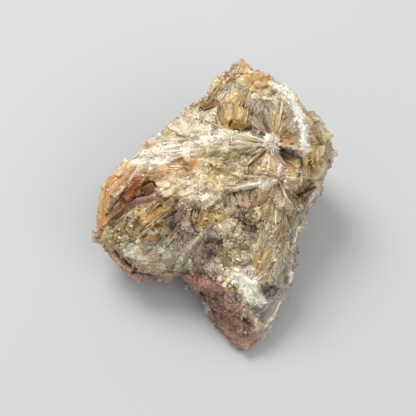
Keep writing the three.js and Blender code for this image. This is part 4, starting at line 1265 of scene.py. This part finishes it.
def grown_blades(
    name, seed, count, where, stretch, widen, spread, roll, flat, lift, sections, material
):
    """Blades that follow the growth of the lump, rooted at scattered points of its surface.

    Their usual length and width there are stretched and widened. Spread and roll are how far they turn from
    the growth and about themselves, in radians, flat is the range of thickness over width, and lift that of
    the height over thickness. On the crystal face both ends are set down on the smoothed face, and a blade
    that would cross the rim is shortened. Elsewhere a blade runs along the surface from its point."""
    whole = lump()
    draws = np.random.default_rng(seed)
    at = scattered(draws, count, where)
    point, normal, rimness = whole.points[at], whole.normals[at], whole.rimness[at]
    side = np.cross(normal, whole.way[at])
    way = turned_about(whole.way[at], normal, draws.normal(0, spread, count))
    length = whole.length[at] * stretch * np.exp(draws.normal(0, 0.38, count)) * (1 - 0.6 * rimness)
    width = whole.width[at] * widen * np.exp(draws.normal(0, 0.35, count))
    thick = width * draws.uniform(*flat, count)
    back = draws.uniform(0.3, 0.7, count)
    face = whole.on_face[at]
    middle = point + side * draws.uniform(-0.3, 0.3, count)[:, None]
    for _ in range(6):
        start = middle - way * (length * back)[:, None]
        end = middle + way * (length * (1 - back))[:, None]
        outside = np.zeros(count, bool)
        for tip in (start, end):
            outside |= (rim_share(*to_face(tip).T[:2]) > FREE_RIM) | (tip[:, 2] < FREE_FLOOR)
        length = np.where(outside, length * 0.7, length)
    for tip in (start, end):
        tip[face] = on_the_face(*to_face(tip).T[:2])[face]
    raised = (draws.uniform(*lift, count) - 0.3 * rimness) * thick
    rise = draws.normal(0.0, 0.05, count) * length
    start = start + normal * (raised - 0.5 * np.abs(rise))[:, None]
    end = end + normal * (raised + rise)[:, None]
    around = draws.normal(0, roll, count)
    along = unit(end - start)
    facing = turned_about(square_to(normal, along), along, around)
    slant = draws.uniform(-1.2, 1.2, count)
    points, faces, bake_map, streak = blade_shapes(start, end, facing, width, thick, slant, sections)
    points[:, 2] = np.maximum(points[:, 2], 0)
    together = draws.uniform(size=count) < 0.55
    draw = np.where(together, hash_of(whole.cell[at], 4), draws.uniform(size=count))
    mineral = picked_minerals(whole.minerals[at] * mineral_values(COVER), draw)
    tint = mix(whole.skin["tint"][at], mineral_colours()[mineral], 0.4)
    tint *= draws.uniform(0.9, 1.2, count)[:, None]
    rough = mineral_values(ROUGHNESS)[mineral] + draws.uniform(-0.12, 0.15, count)
    values = blade_values(tint, rough, streak, sections)
    add_piece(name, points, faces, values, material, bake_map)


def set_crystals(name, seed, rows, material):
    """Single crystals laid between their two places on the smoothed face, each with its own roll and form.

    Chips along the edges move each corner a little, and the ends are cut at a slant."""
    draws = np.random.default_rng(seed)
    parts = []
    for mineral, a0, b0, a1, b1, width, roll, lift, form in rows:
        sections = FORMS[form]
        thick = width * draws.uniform(0.35, 0.5) if width > 1 else width * 0.7
        ends = on_the_face(np.array([a0, a1]), np.array([b0, b1]))
        start, end = (ends + FACE_AXES[2] * (FACET_LIFT * lift - 0.3 * thick))[:, None]
        along = unit(end - start)
        facing = turned_about(square_to(FACE_AXES[2], along), along, np.array([math.radians(roll)]))
        slant = draws.uniform(-0.5, 0.5, 1)
        points, faces, bake_map, streak = blade_shapes(
            start, end, facing, np.array([width]), np.array([thick]), slant, sections
        )
        points = points + draws.normal(0, 0.035 * width, points.shape)
        tint = mineral_colours()[[NUMBER[mineral]]] * draws.uniform(0.9, 1.1)
        rough = mineral_values(ROUGHNESS)[[NUMBER[mineral]]] - POLISH
        parts.append((points, faces, bake_map, blade_values(tint, rough, streak, sections, fade=0.1)))
    points, faces, maps, values = zip(*parts)
    first = np.cumsum([0] + [len(own) for own in points])
    tiles = math.ceil(math.sqrt(len(parts)))
    add_piece(
        name,
        np.concatenate(points),
        np.concatenate([own + start for own, start in zip(faces, first)]),
        {key: np.concatenate([own[key] for own in values]) for key in values[0]},
        material,
        np.concatenate([(own + [k % tiles, k // tiles]) / tiles for k, own in enumerate(maps)]),
    )


def star_rays():
    """Rows like those of CRYSTALS for the rays of the stars, evenly around with a little jitter."""
    draws = np.random.default_rng(31)
    rows = []
    for across, up, count, shortest, longest, width, minerals in STARS:
        for k in range(count):
            angle = 2 * math.pi * (k + draws.uniform(-0.3, 0.3)) / count
            way = np.array([math.cos(angle), math.sin(angle)])
            near, far = draws.uniform(0.1, 0.5), draws.uniform(shortest, longest)
            root, tip = np.array([across, up]) + way * near, np.array([across, up]) + way * far
            wide = width * draws.uniform(0.7, 1.3)
            rows.append((minerals[k % len(minerals)], *root, *tip, wide, draws.normal(0, 25), 0.6, "spear"))
    return rows


class GYPSUM_OT_crystals(bpy.types.Operator):
    """Sets the single crystals and the rays of the stars on the crystal face"""

    bl_idname = "gypsum.crystals"
    bl_label = "Single crystals"

    def execute(self, context):
        slender = [row for row in single_crystals() if row[5] < SLENDER]
        clear = [row for row in slender if row[0] in CLEAR_MINERALS]
        milky = [row for row in slender if row[0] not in CLEAR_MINERALS]
        set_crystals("honey_crystals", 32, clear, crystal_material())
        set_crystals("white_crystals", 33, milky + star_rays(), needle_material())
        return {"FINISHED"}


class GYPSUM_OT_blades(bpy.types.Operator):
    """Grows the broad blades and the fine needles of the crystal face, the flanks and the back"""

    bl_idname = "gypsum.blades"
    bl_label = "Blades and needles"

    def execute(self, context):
        whole = lump()
        sizes = context.scene.gypsum_sizes
        crystal = whole.minerals @ mineral_values(COVER)
        in_fans = np.where(whole.bundle < LOOSE, 1, 0.25)
        front = crystal * (whole.down < 0.12) * free_of_crystals() ** 2 * in_fans
        front = front * (1 - 0.8 * whole.rimness) * whole.busy**2
        behind = crystal * (whole.down >= 0.1) * (whole.points[:, 2] > 0.8)
        inland = behind * (1 - smooth_step(0.0, 0.9, whole.rimness))
        grown_blades(
            "cleaved_blades",
            seed=11,
            count=sizes.blade_count,
            where=front,
            stretch=0.6,
            widen=0.8,
            spread=0.12,
            roll=0.35,
            flat=(0.2, 0.45),
            lift=(-0.9, -0.1),
            sections=BROAD_SECTIONS,
            material=blade_material(),
        )
        grown_blades(
            "fine_needles",
            seed=12,
            count=sizes.needle_count,
            where=front,
            stretch=0.46,
            widen=0.38,
            spread=0.12,
            roll=0.8,
            flat=(0.6, 1.0),
            lift=(-0.4, 0.3),
            sections=FINE_SECTIONS,
            material=needle_material(),
        )
        grown_blades(
            "flank_blades",
            seed=13,
            count=sizes.flank_count,
            where=inland,
            stretch=0.8,
            widen=1.0,
            spread=0.16,
            roll=0.4,
            flat=(0.2, 0.5),
            lift=(-0.7, 0.0),
            sections=FINE_SECTIONS,
            material=blade_material(),
        )
        return {"FINISHED"}


def scatter(
    name, seed, count, where, size, flat, lean, lift, tint, shade, rough, grain, sections, material
):
    """Tablets of random size at scattered points: a short line along the surface. Those of crystal lie along
    its growth, the others are turned any way.

    Flat is the range of thickness over length, lean how far they tip, lift the range of height over
    thickness, tint what they are coloured at each point and shade the range of what that is drawn with."""
    whole = lump()
    draws = np.random.default_rng(seed)
    at = scattered(draws, count, where)
    normal = whole.normals[at]
    way = unit(np.cross(normal, draws.normal(size=(count, 3))))
    way = unit(way * (0.35 + grain) + (1 - grain) * whole.way[at])
    length = size / MM * np.exp(np.minimum(draws.normal(0, 0.4, count), 0.55)) * (1.5 - 0.5 * grain)
    width = length * draws.uniform(0.3 + 0.2 * grain, 0.7 + 0.4 * grain, count)
    thick = length * draws.uniform(*flat, count)
    facing = unit(normal + lean * draws.normal(size=(count, 3)))
    way = square_to(way, facing)
    middle = whole.points[at] + normal * (thick * draws.uniform(*lift, count))[:, None]
    start, end = middle - way * length[:, None] / 2, middle + way * length[:, None] / 2
    slant = draws.uniform(-0.6, 0.6, count)
    points, faces, bake_map, streak = blade_shapes(start, end, facing, width, thick, slant, sections)
    points[:, 2] = np.maximum(points[:, 2], 0)
    colour = tint(at, draws.uniform(*shade, count)[:, None])
    values = blade_values(colour, np.full(count, rough), streak, sections, grain=grain, fade=0.05)
    add_piece(name, points, faces, values, material, bake_map)


class GYPSUM_OT_chips(bpy.types.Operator):
    """Scatters glossy cleavage flakes over the crystals and crumbs over the fine-grained mass"""

    bl_idname = "gypsum.chips"
    bl_label = "Flakes and crumbs"

    def execute(self, context):
        whole = lump()
        sizes = context.scene.gypsum_sizes
        crystal = whole.minerals @ mineral_values(COVER)
        colours = mineral_colours()
        mean = whole.minerals @ colours
        free = free_of_crystals()
        clusters = soft_noise(whole.points, 2.6, 46) + 0.6 * soft_noise(whole.points, 1, 47)
        # The flakes gather in clusters on white and bright crystal. Their tint, drawn part way from the
        # colour beneath to the white mineral, is partly that mineral's own colour and partly painted glints.
        white = (whole.minerals[:, NUMBER["white"]] + 0.25) * (0.2 + 0.8 * free)
        bright = smooth_step(0.06, 0.3, mean.mean(-1))
        white = white * bright * whole.busy**3 * smooth_step(-0.5, 0.5, clusters)
        scatter(
            "clear_flakes",
            seed=21,
            count=sizes.flake_count,
            where=crystal * white,
            size=sizes.flake_size,
            flat=(0.08, 0.25),
            lean=0.55,
            lift=(-0.2, 1.0),
            tint=lambda at, share: mean[at] + (colours[NUMBER["white"]] - mean[at]) * share,
            shade=(0.1, 0.85),
            rough=0.2,
            grain=0.0,
            sections=TABLET_SECTIONS,
            material=flake_material(),
        )
        loose = crystal * (whole.bundle >= LOOSE) * (whole.down < 0.12)
        loose = loose * free * (1 - whole.rimness) * whole.busy**2
        scatter(
            "broken_crystals",
            seed=23,
            count=sizes.shard_count,
            where=loose,
            size=sizes.shard_size,
            flat=(0.2, 0.5),
            lean=0.6,
            lift=(-0.6, 0.3),
            tint=lambda at, share: whole.skin["tint"][at] * share,
            shade=(0.7, 1.35),
            rough=0.26,
            grain=0.0,
            sections=SHARD_SECTIONS,
            material=blade_material(),
        )
        earthy = whole.grain * (whole.points[:, 2] > 0.6) * (1 - whole.rimness) * (1.2 - whole.skin["rough"])
        scatter(
            "matrix_crumbs",
            seed=22,
            count=sizes.crumb_count,
            where=earthy,
            size=sizes.crumb_size,
            flat=(0.4, 0.9),
            lean=1.5,
            lift=(-0.3, 0.4),
            tint=lambda at, share: mean[at] * share,
            shade=(0.6, 1.5),
            rough=0.75,
            grain=1.0,
            sections=SHARD_SECTIONS,
            material=mass_material(),
        )
        return {"FINISHED"}


# --- Materials ---

GLINT_AND_CRUMB_WHITE = "#f1ebdc"  # the white of the fine specks on crystal, partly painted glints and partly white crumbs
SPECK_SIZE = 0.42 * MM
GRAIN_SIZE = 0.6 * MM
CLUSTER_SIZE = 3 * MM
BUMP_HEIGHT = 0.12 * MM


def add_node(tree, kind, values=None, links=None, **settings):
    """Adds a node, sets its properties and unlinked inputs, and links its other inputs to outputs."""
    made = tree.nodes.new("ShaderNode" + kind)
    for key, value in settings.items():
        setattr(made, key, value)
    for key, value in (values or {}).items():
        made.inputs[key].default_value = value
    for key, (source, output) in (links or {}).items():
        tree.links.new(source.outputs[output], made.inputs[key])
    return made


def mineral_material(name, striation, streak_size, contrast, glint_and_crumb, rough_shift, shader):
    """A mineral's surface: its own tint, streaked along its growth and speckled, with matching bumps.

    Striations run along a blade and repeat every streak_size millimetres across it. The fifth setting is how
    white its fine specks turn, which are partly painted glints and partly white crumbs, and rough_shift is
    added to its roughness."""
    material = bpy.data.materials.get(name)
    if material:
        return material
    material = bpy.data.materials.new(name)
    material.use_nodes = True
    tree = material.node_tree
    surface = tree.nodes["Principled BSDF"]
    tint, streak, rough, grain = (
        add_node(tree, "Attribute", attribute_name=key) for key in ("tint", "streak", "rough", "grain")
    )
    place = add_node(tree, "TexCoord")
    stretch = {"Scale": (0.12 / streak_size, 1 / streak_size, 1)}
    along = add_node(tree, "Mapping", stretch, {"Vector": (streak, "Vector")})
    streaks, grains, specks, clusters = (
        add_node(tree, "TexNoise", {"Scale": scale, "Detail": detail, "Roughness": soft}, {"Vector": vector})
        for vector, scale, detail, soft in (
            ((along, "Vector"), 1, 3, 0.6),
            ((place, "Object"), 1 / GRAIN_SIZE, 4, 0.65),
            ((place, "Object"), 1 / SPECK_SIZE, 2, 0.6),
            ((place, "Object"), 1 / CLUSTER_SIZE, 2, 0.5),
        )
    )
    pattern = add_node(
        tree,
        "Mix",
        links={"Factor": (grain, "Fac"), "A": (streaks, "Fac"), "B": (grains, "Fac")},
        data_type="FLOAT",
    )
    shade = add_node(
        tree,
        "MapRange",
        {"From Min": 0.3, "From Max": 0.7, "To Min": 1 - contrast, "To Max": 1 + contrast},
        {"Value": (pattern, 0)},
    )
    colour = add_node(
        tree,
        "VectorMath",
        links={"Vector": (tint, "Vector"), "Scale": (shade, "Result")},
        operation="SCALE",
    )
    # painted glints and white crumbs: fine specks, denser in clusters, turn the colour towards a warm white
    glint_and_crumb_reach = add_node(
        tree,
        "MapRange",
        {"From Min": 0.42, "From Max": 0.62, "To Min": 0.3 * glint_and_crumb, "To Max": 2.2 * glint_and_crumb},
        {"Value": (clusters, "Fac")},
    )
    glint_and_crumb_share = add_node(
        tree,
        "MapRange",
        {"From Min": 0.56, "From Max": 0.72},
        {"Value": (specks, "Fac"), "To Max": (glint_and_crumb_reach, "Result")},
    )
    glint_and_crumb_tint = add_node(
        tree,
        "Mix",
        {"B": (*linear(GLINT_AND_CRUMB_WHITE), 1)},
        {"Factor": (glint_and_crumb_share, "Result"), "A": (colour, "Vector")},
        data_type="RGBA",
    )
    shine = add_node(
        tree,
        "MapRange",
        {"From Min": 0.3, "From Max": 0.7, "To Min": rough_shift - 0.12, "To Max": rough_shift + 0.16},
        {"Value": (grains, "Fac")},
    )
    roughness = add_node(
        tree, "Math", links={0: (rough, "Fac"), 1: (shine, "Result")}, operation="ADD", use_clamp=True
    )
    bump = add_node(
        tree, "Bump", {"Strength": striation, "Distance": BUMP_HEIGHT}, {"Height": (pattern, 0)}
    )
    tree.links.new(glint_and_crumb_tint.outputs["Result"], surface.inputs["Base Color"])
    tree.links.new(roughness.outputs["Value"], surface.inputs["Roughness"])
    tree.links.new(bump.outputs["Normal"], surface.inputs["Normal"])
    for key, value in shader.items():
        surface.inputs[key].default_value = value
    return material


GYPSUM_IOR = 1.525
GLOW = {"Subsurface Radius": (1.0, 0.85, 0.65), "Subsurface Scale": 1.4 * MM, "IOR": GYPSUM_IOR}
GLASSY = {"Subsurface Weight": 0.2, "Transmission Weight": 0.2, "Coat Weight": 0.5, "Coat Roughness": 0.08}


def mass_material():
    """Broken gypsum mass with clay in it: dull, fine-grained, faintly glowing at thin edges."""
    glow = GLOW | {"Subsurface Weight": 0.2}
    return mineral_material("BrokenGypsumMass", 0.9, 0.5, 0.3, 0.26, -0.06, glow)


def blade_material():
    """Cleaved honey selenite: a vitreous skin over colour that glows from within."""
    glow = GLOW | {"Subsurface Weight": 0.3}
    return mineral_material("CleavedHoneySelenite", 0.6, 0.35, 0.2, 0.35, -0.08, glow)


def needle_material():
    """Satin spar needles: silky, milky and striped along their length."""
    glow = GLOW | {"Subsurface Weight": 0.35}
    return mineral_material("SatinSparNeedles", 0.5, 0.25, 0.14, 0.3, -0.04, glow)


def crystal_material():
    """Single honey crystals: glassy, with light that goes in and comes back warmer."""
    return mineral_material("GlassyHoneySelenite", 0.35, 0.35, 0.14, 0.2, -0.05, GLOW | GLASSY)


def flake_material():
    """Clear cleavage flakes: glassy, and seen through."""
    clear = {"Transmission Weight": 0.2, "IOR": GYPSUM_IOR}
    return mineral_material("ClearSeleniteFlakes", 0.2, 0.4, 0.08, 0.0, 0.0, clear)


# --- Stage ---

CAMERA_LENS = 85
CAMERA_DISTANCE = 305
CAMERA_TARGET = np.array([-2.5, -0.93, 0.0])  # in the face frame
CAMERA_NEAREST = 0.01  # metres
FLOOR_REACH = 3.0  # metres
LAMP_TARGET = (0, 0, 20)
SKY = "#f8f8f7"


def aim(thing, place, target):
    """Puts a light or camera at a place, looking at the target, both in millimetres."""
    thing.location = Vector(place) * MM
    thing.rotation_euler = (Vector(target) - Vector(place)).to_track_quat("-Z", "Y").to_euler()
    bpy.context.scene.collection.objects.link(thing)


def pale_card(colour):
    """Matt card for the floor: no highlight, and a soft shadow."""
    card = bpy.data.materials.new("MattPaleCard")
    card.use_nodes = True
    surface = card.node_tree.nodes["Principled BSDF"]
    surface.inputs["Base Color"].default_value = (*colour, 1)
    surface.inputs["Roughness"].default_value = 0.9
    surface.inputs["Specular IOR Level"].default_value = 0.1
    return card


class GYPSUM_OT_stage(bpy.types.Operator):
    """Sets the pale floor, the soft lights and the camera"""

    bl_idname = "gypsum.stage"
    bl_label = "Stage"

    def execute(self, context):
        settings = context.scene.gypsum_stage
        mesh = bpy.data.meshes.new("floor")
        corners = [(FLOOR_REACH * x, FLOOR_REACH * y, 0) for x, y in ((-1, -1), (1, -1), (1, 1), (-1, 1))]
        mesh.from_pydata(corners, [], [(0, 1, 2, 3)])
        mesh.materials.append(pale_card(settings.floor_colour))
        floor = bpy.data.objects.new("floor", mesh)
        context.scene.collection.objects.link(floor)

        for name, place, width, power, tone in (
            ("key_light", (-330, 420, 760), 0.55, settings.key_power, "#fffdfa"),
            ("fill_light", (420, -380, 620), 0.8, settings.fill_power, "#fbf9f6"),
        ):
            lamp = bpy.data.lights.new(name, "AREA")
            lamp.shape = "DISK"
            lamp.size = width
            lamp.energy = power
            lamp.color = linear(tone)
            aim(bpy.data.objects.new(name, lamp), place, LAMP_TARGET)

        world = bpy.data.worlds.new("studio")
        world.use_nodes = True
        sky = world.node_tree.nodes["Background"]
        sky.inputs["Color"].default_value = (*linear(SKY), 1)
        sky.inputs["Strength"].default_value = settings.room_light
        context.scene.world = world
        context.scene.view_settings.view_transform = "Standard"

        lens = bpy.data.cameras.new("camera")
        lens.lens = CAMERA_LENS
        lens.clip_start = CAMERA_NEAREST
        camera = bpy.data.objects.new("camera", lens)
        target = to_row(CAMERA_TARGET)
        aim(camera, target + CAMERA_DISTANCE * FACE_AXES[2], target)
        context.scene.camera = camera
        return {"FINISHED"}


# --- Settings, panel and registration ---


def colour_setting(label, what, default):
    """An sRGB hex colour as a setting."""
    text = f"Colour of {what}"
    start = tuple(linear(default))
    return bpy.props.FloatVectorProperty(
        name=label, description=text, default=start, min=0, max=1, subtype="COLOR"
    )


def count_setting(label, pieces, default):
    """A whole number of pieces, as a setting."""
    text = f"How many {pieces} there are"
    return bpy.props.IntProperty(name=label, description=text, default=default, min=1)


def size_setting(label, pieces, default):
    """A usual length of pieces in millimetres, as a setting in metres."""
    text = f"How long {pieces} usually are"
    return bpy.props.FloatProperty(
        name=label, description=text, default=default * MM, precision=5, unit="LENGTH"
    )


def power_setting(label, what, default):
    """The power of a light in watts, as a setting."""
    return bpy.props.FloatProperty(name=label, description=f"Power of {what}", default=default, unit="POWER")


class GypsumColours(bpy.types.PropertyGroup):
    """The colour of each mineral or staining"""

    __annotations__ = {
        name: colour_setting(name.capitalize(), f"the {name} mineral", facts[0])
        for name, facts in MINERALS.items()
    }


class GypsumSizes(bpy.types.PropertyGroup):
    """How many small pieces there are, and how long those of the same kind usually are"""

    blade_count: count_setting("Blades", "broad blades on the crystal face", 1000)
    needle_count: count_setting("Needles", "fine needles on the crystal face", 9000)
    flank_count: count_setting("Flank blades", "blades on the flanks and the back", 2600)
    flake_count: count_setting("Flakes", "clear cleavage flakes", 12000)
    flake_size: size_setting("Flake length", "clear cleavage flakes", 0.36)
    shard_count: count_setting("Broken crystals", "broken crystals where no fan reaches", 2600)
    shard_size: size_setting("Broken crystal length", "broken crystals", 0.8)
    crumb_count: count_setting("Crumbs", "crumbs on the fine-grained mass", 3000)
    crumb_size: size_setting("Crumb length", "crumbs", 0.5)


class GypsumStage(bpy.types.PropertyGroup):
    """The floor and the lights"""

    floor_colour: colour_setting("Floor", "the card", "#b7babb")
    key_power: power_setting("Key light", "the key light", 7.6)
    fill_power: power_setting("Fill light", "the fill light", 2.8)
    room_light: bpy.props.FloatProperty(
        name="Room light", description="Brightness of the room", default=0.62, min=0
    )


PIECE_OPERATORS = (GYPSUM_OT_lump, GYPSUM_OT_crystals, GYPSUM_OT_blades, GYPSUM_OT_chips, GYPSUM_OT_stage)


class GYPSUM_PT_panel(bpy.types.Panel):
    """Lists the specimen's pieces and its stage"""

    bl_idname = "GYPSUM_PT_panel"
    bl_label = "Gypsum specimen"
    bl_space_type = "VIEW_3D"
    bl_region_type = "UI"
    bl_category = "Gypsum"

    def draw(self, context):
        scene = context.scene
        for settings in (scene.gypsum_sizes, scene.gypsum_colours, scene.gypsum_stage):
            for key in settings.__annotations__:
                self.layout.prop(settings, key)
        for operator in PIECE_OPERATORS:
            self.layout.operator(operator.bl_idname)


CLASSES = (GypsumColours, GypsumSizes, GypsumStage, *PIECE_OPERATORS, GYPSUM_PT_panel)


def register():
    for cls in CLASSES:
        bpy.utils.register_class(cls)
    bpy.types.Scene.gypsum_colours = bpy.props.PointerProperty(type=GypsumColours)
    bpy.types.Scene.gypsum_sizes = bpy.props.PointerProperty(type=GypsumSizes)
    bpy.types.Scene.gypsum_stage = bpy.props.PointerProperty(type=GypsumStage)


def unregister():
    del bpy.types.Scene.gypsum_stage
    del bpy.types.Scene.gypsum_sizes
    del bpy.types.Scene.gypsum_colours
    for cls in reversed(CLASSES):
        bpy.utils.unregister_class(cls)


def main():
    register()
    bpy.ops.gypsum.lump()
    bpy.ops.gypsum.crystals()
    bpy.ops.gypsum.blades()
    bpy.ops.gypsum.chips()
    bpy.ops.gypsum.stage()


if __name__ == "__main__":
    main()
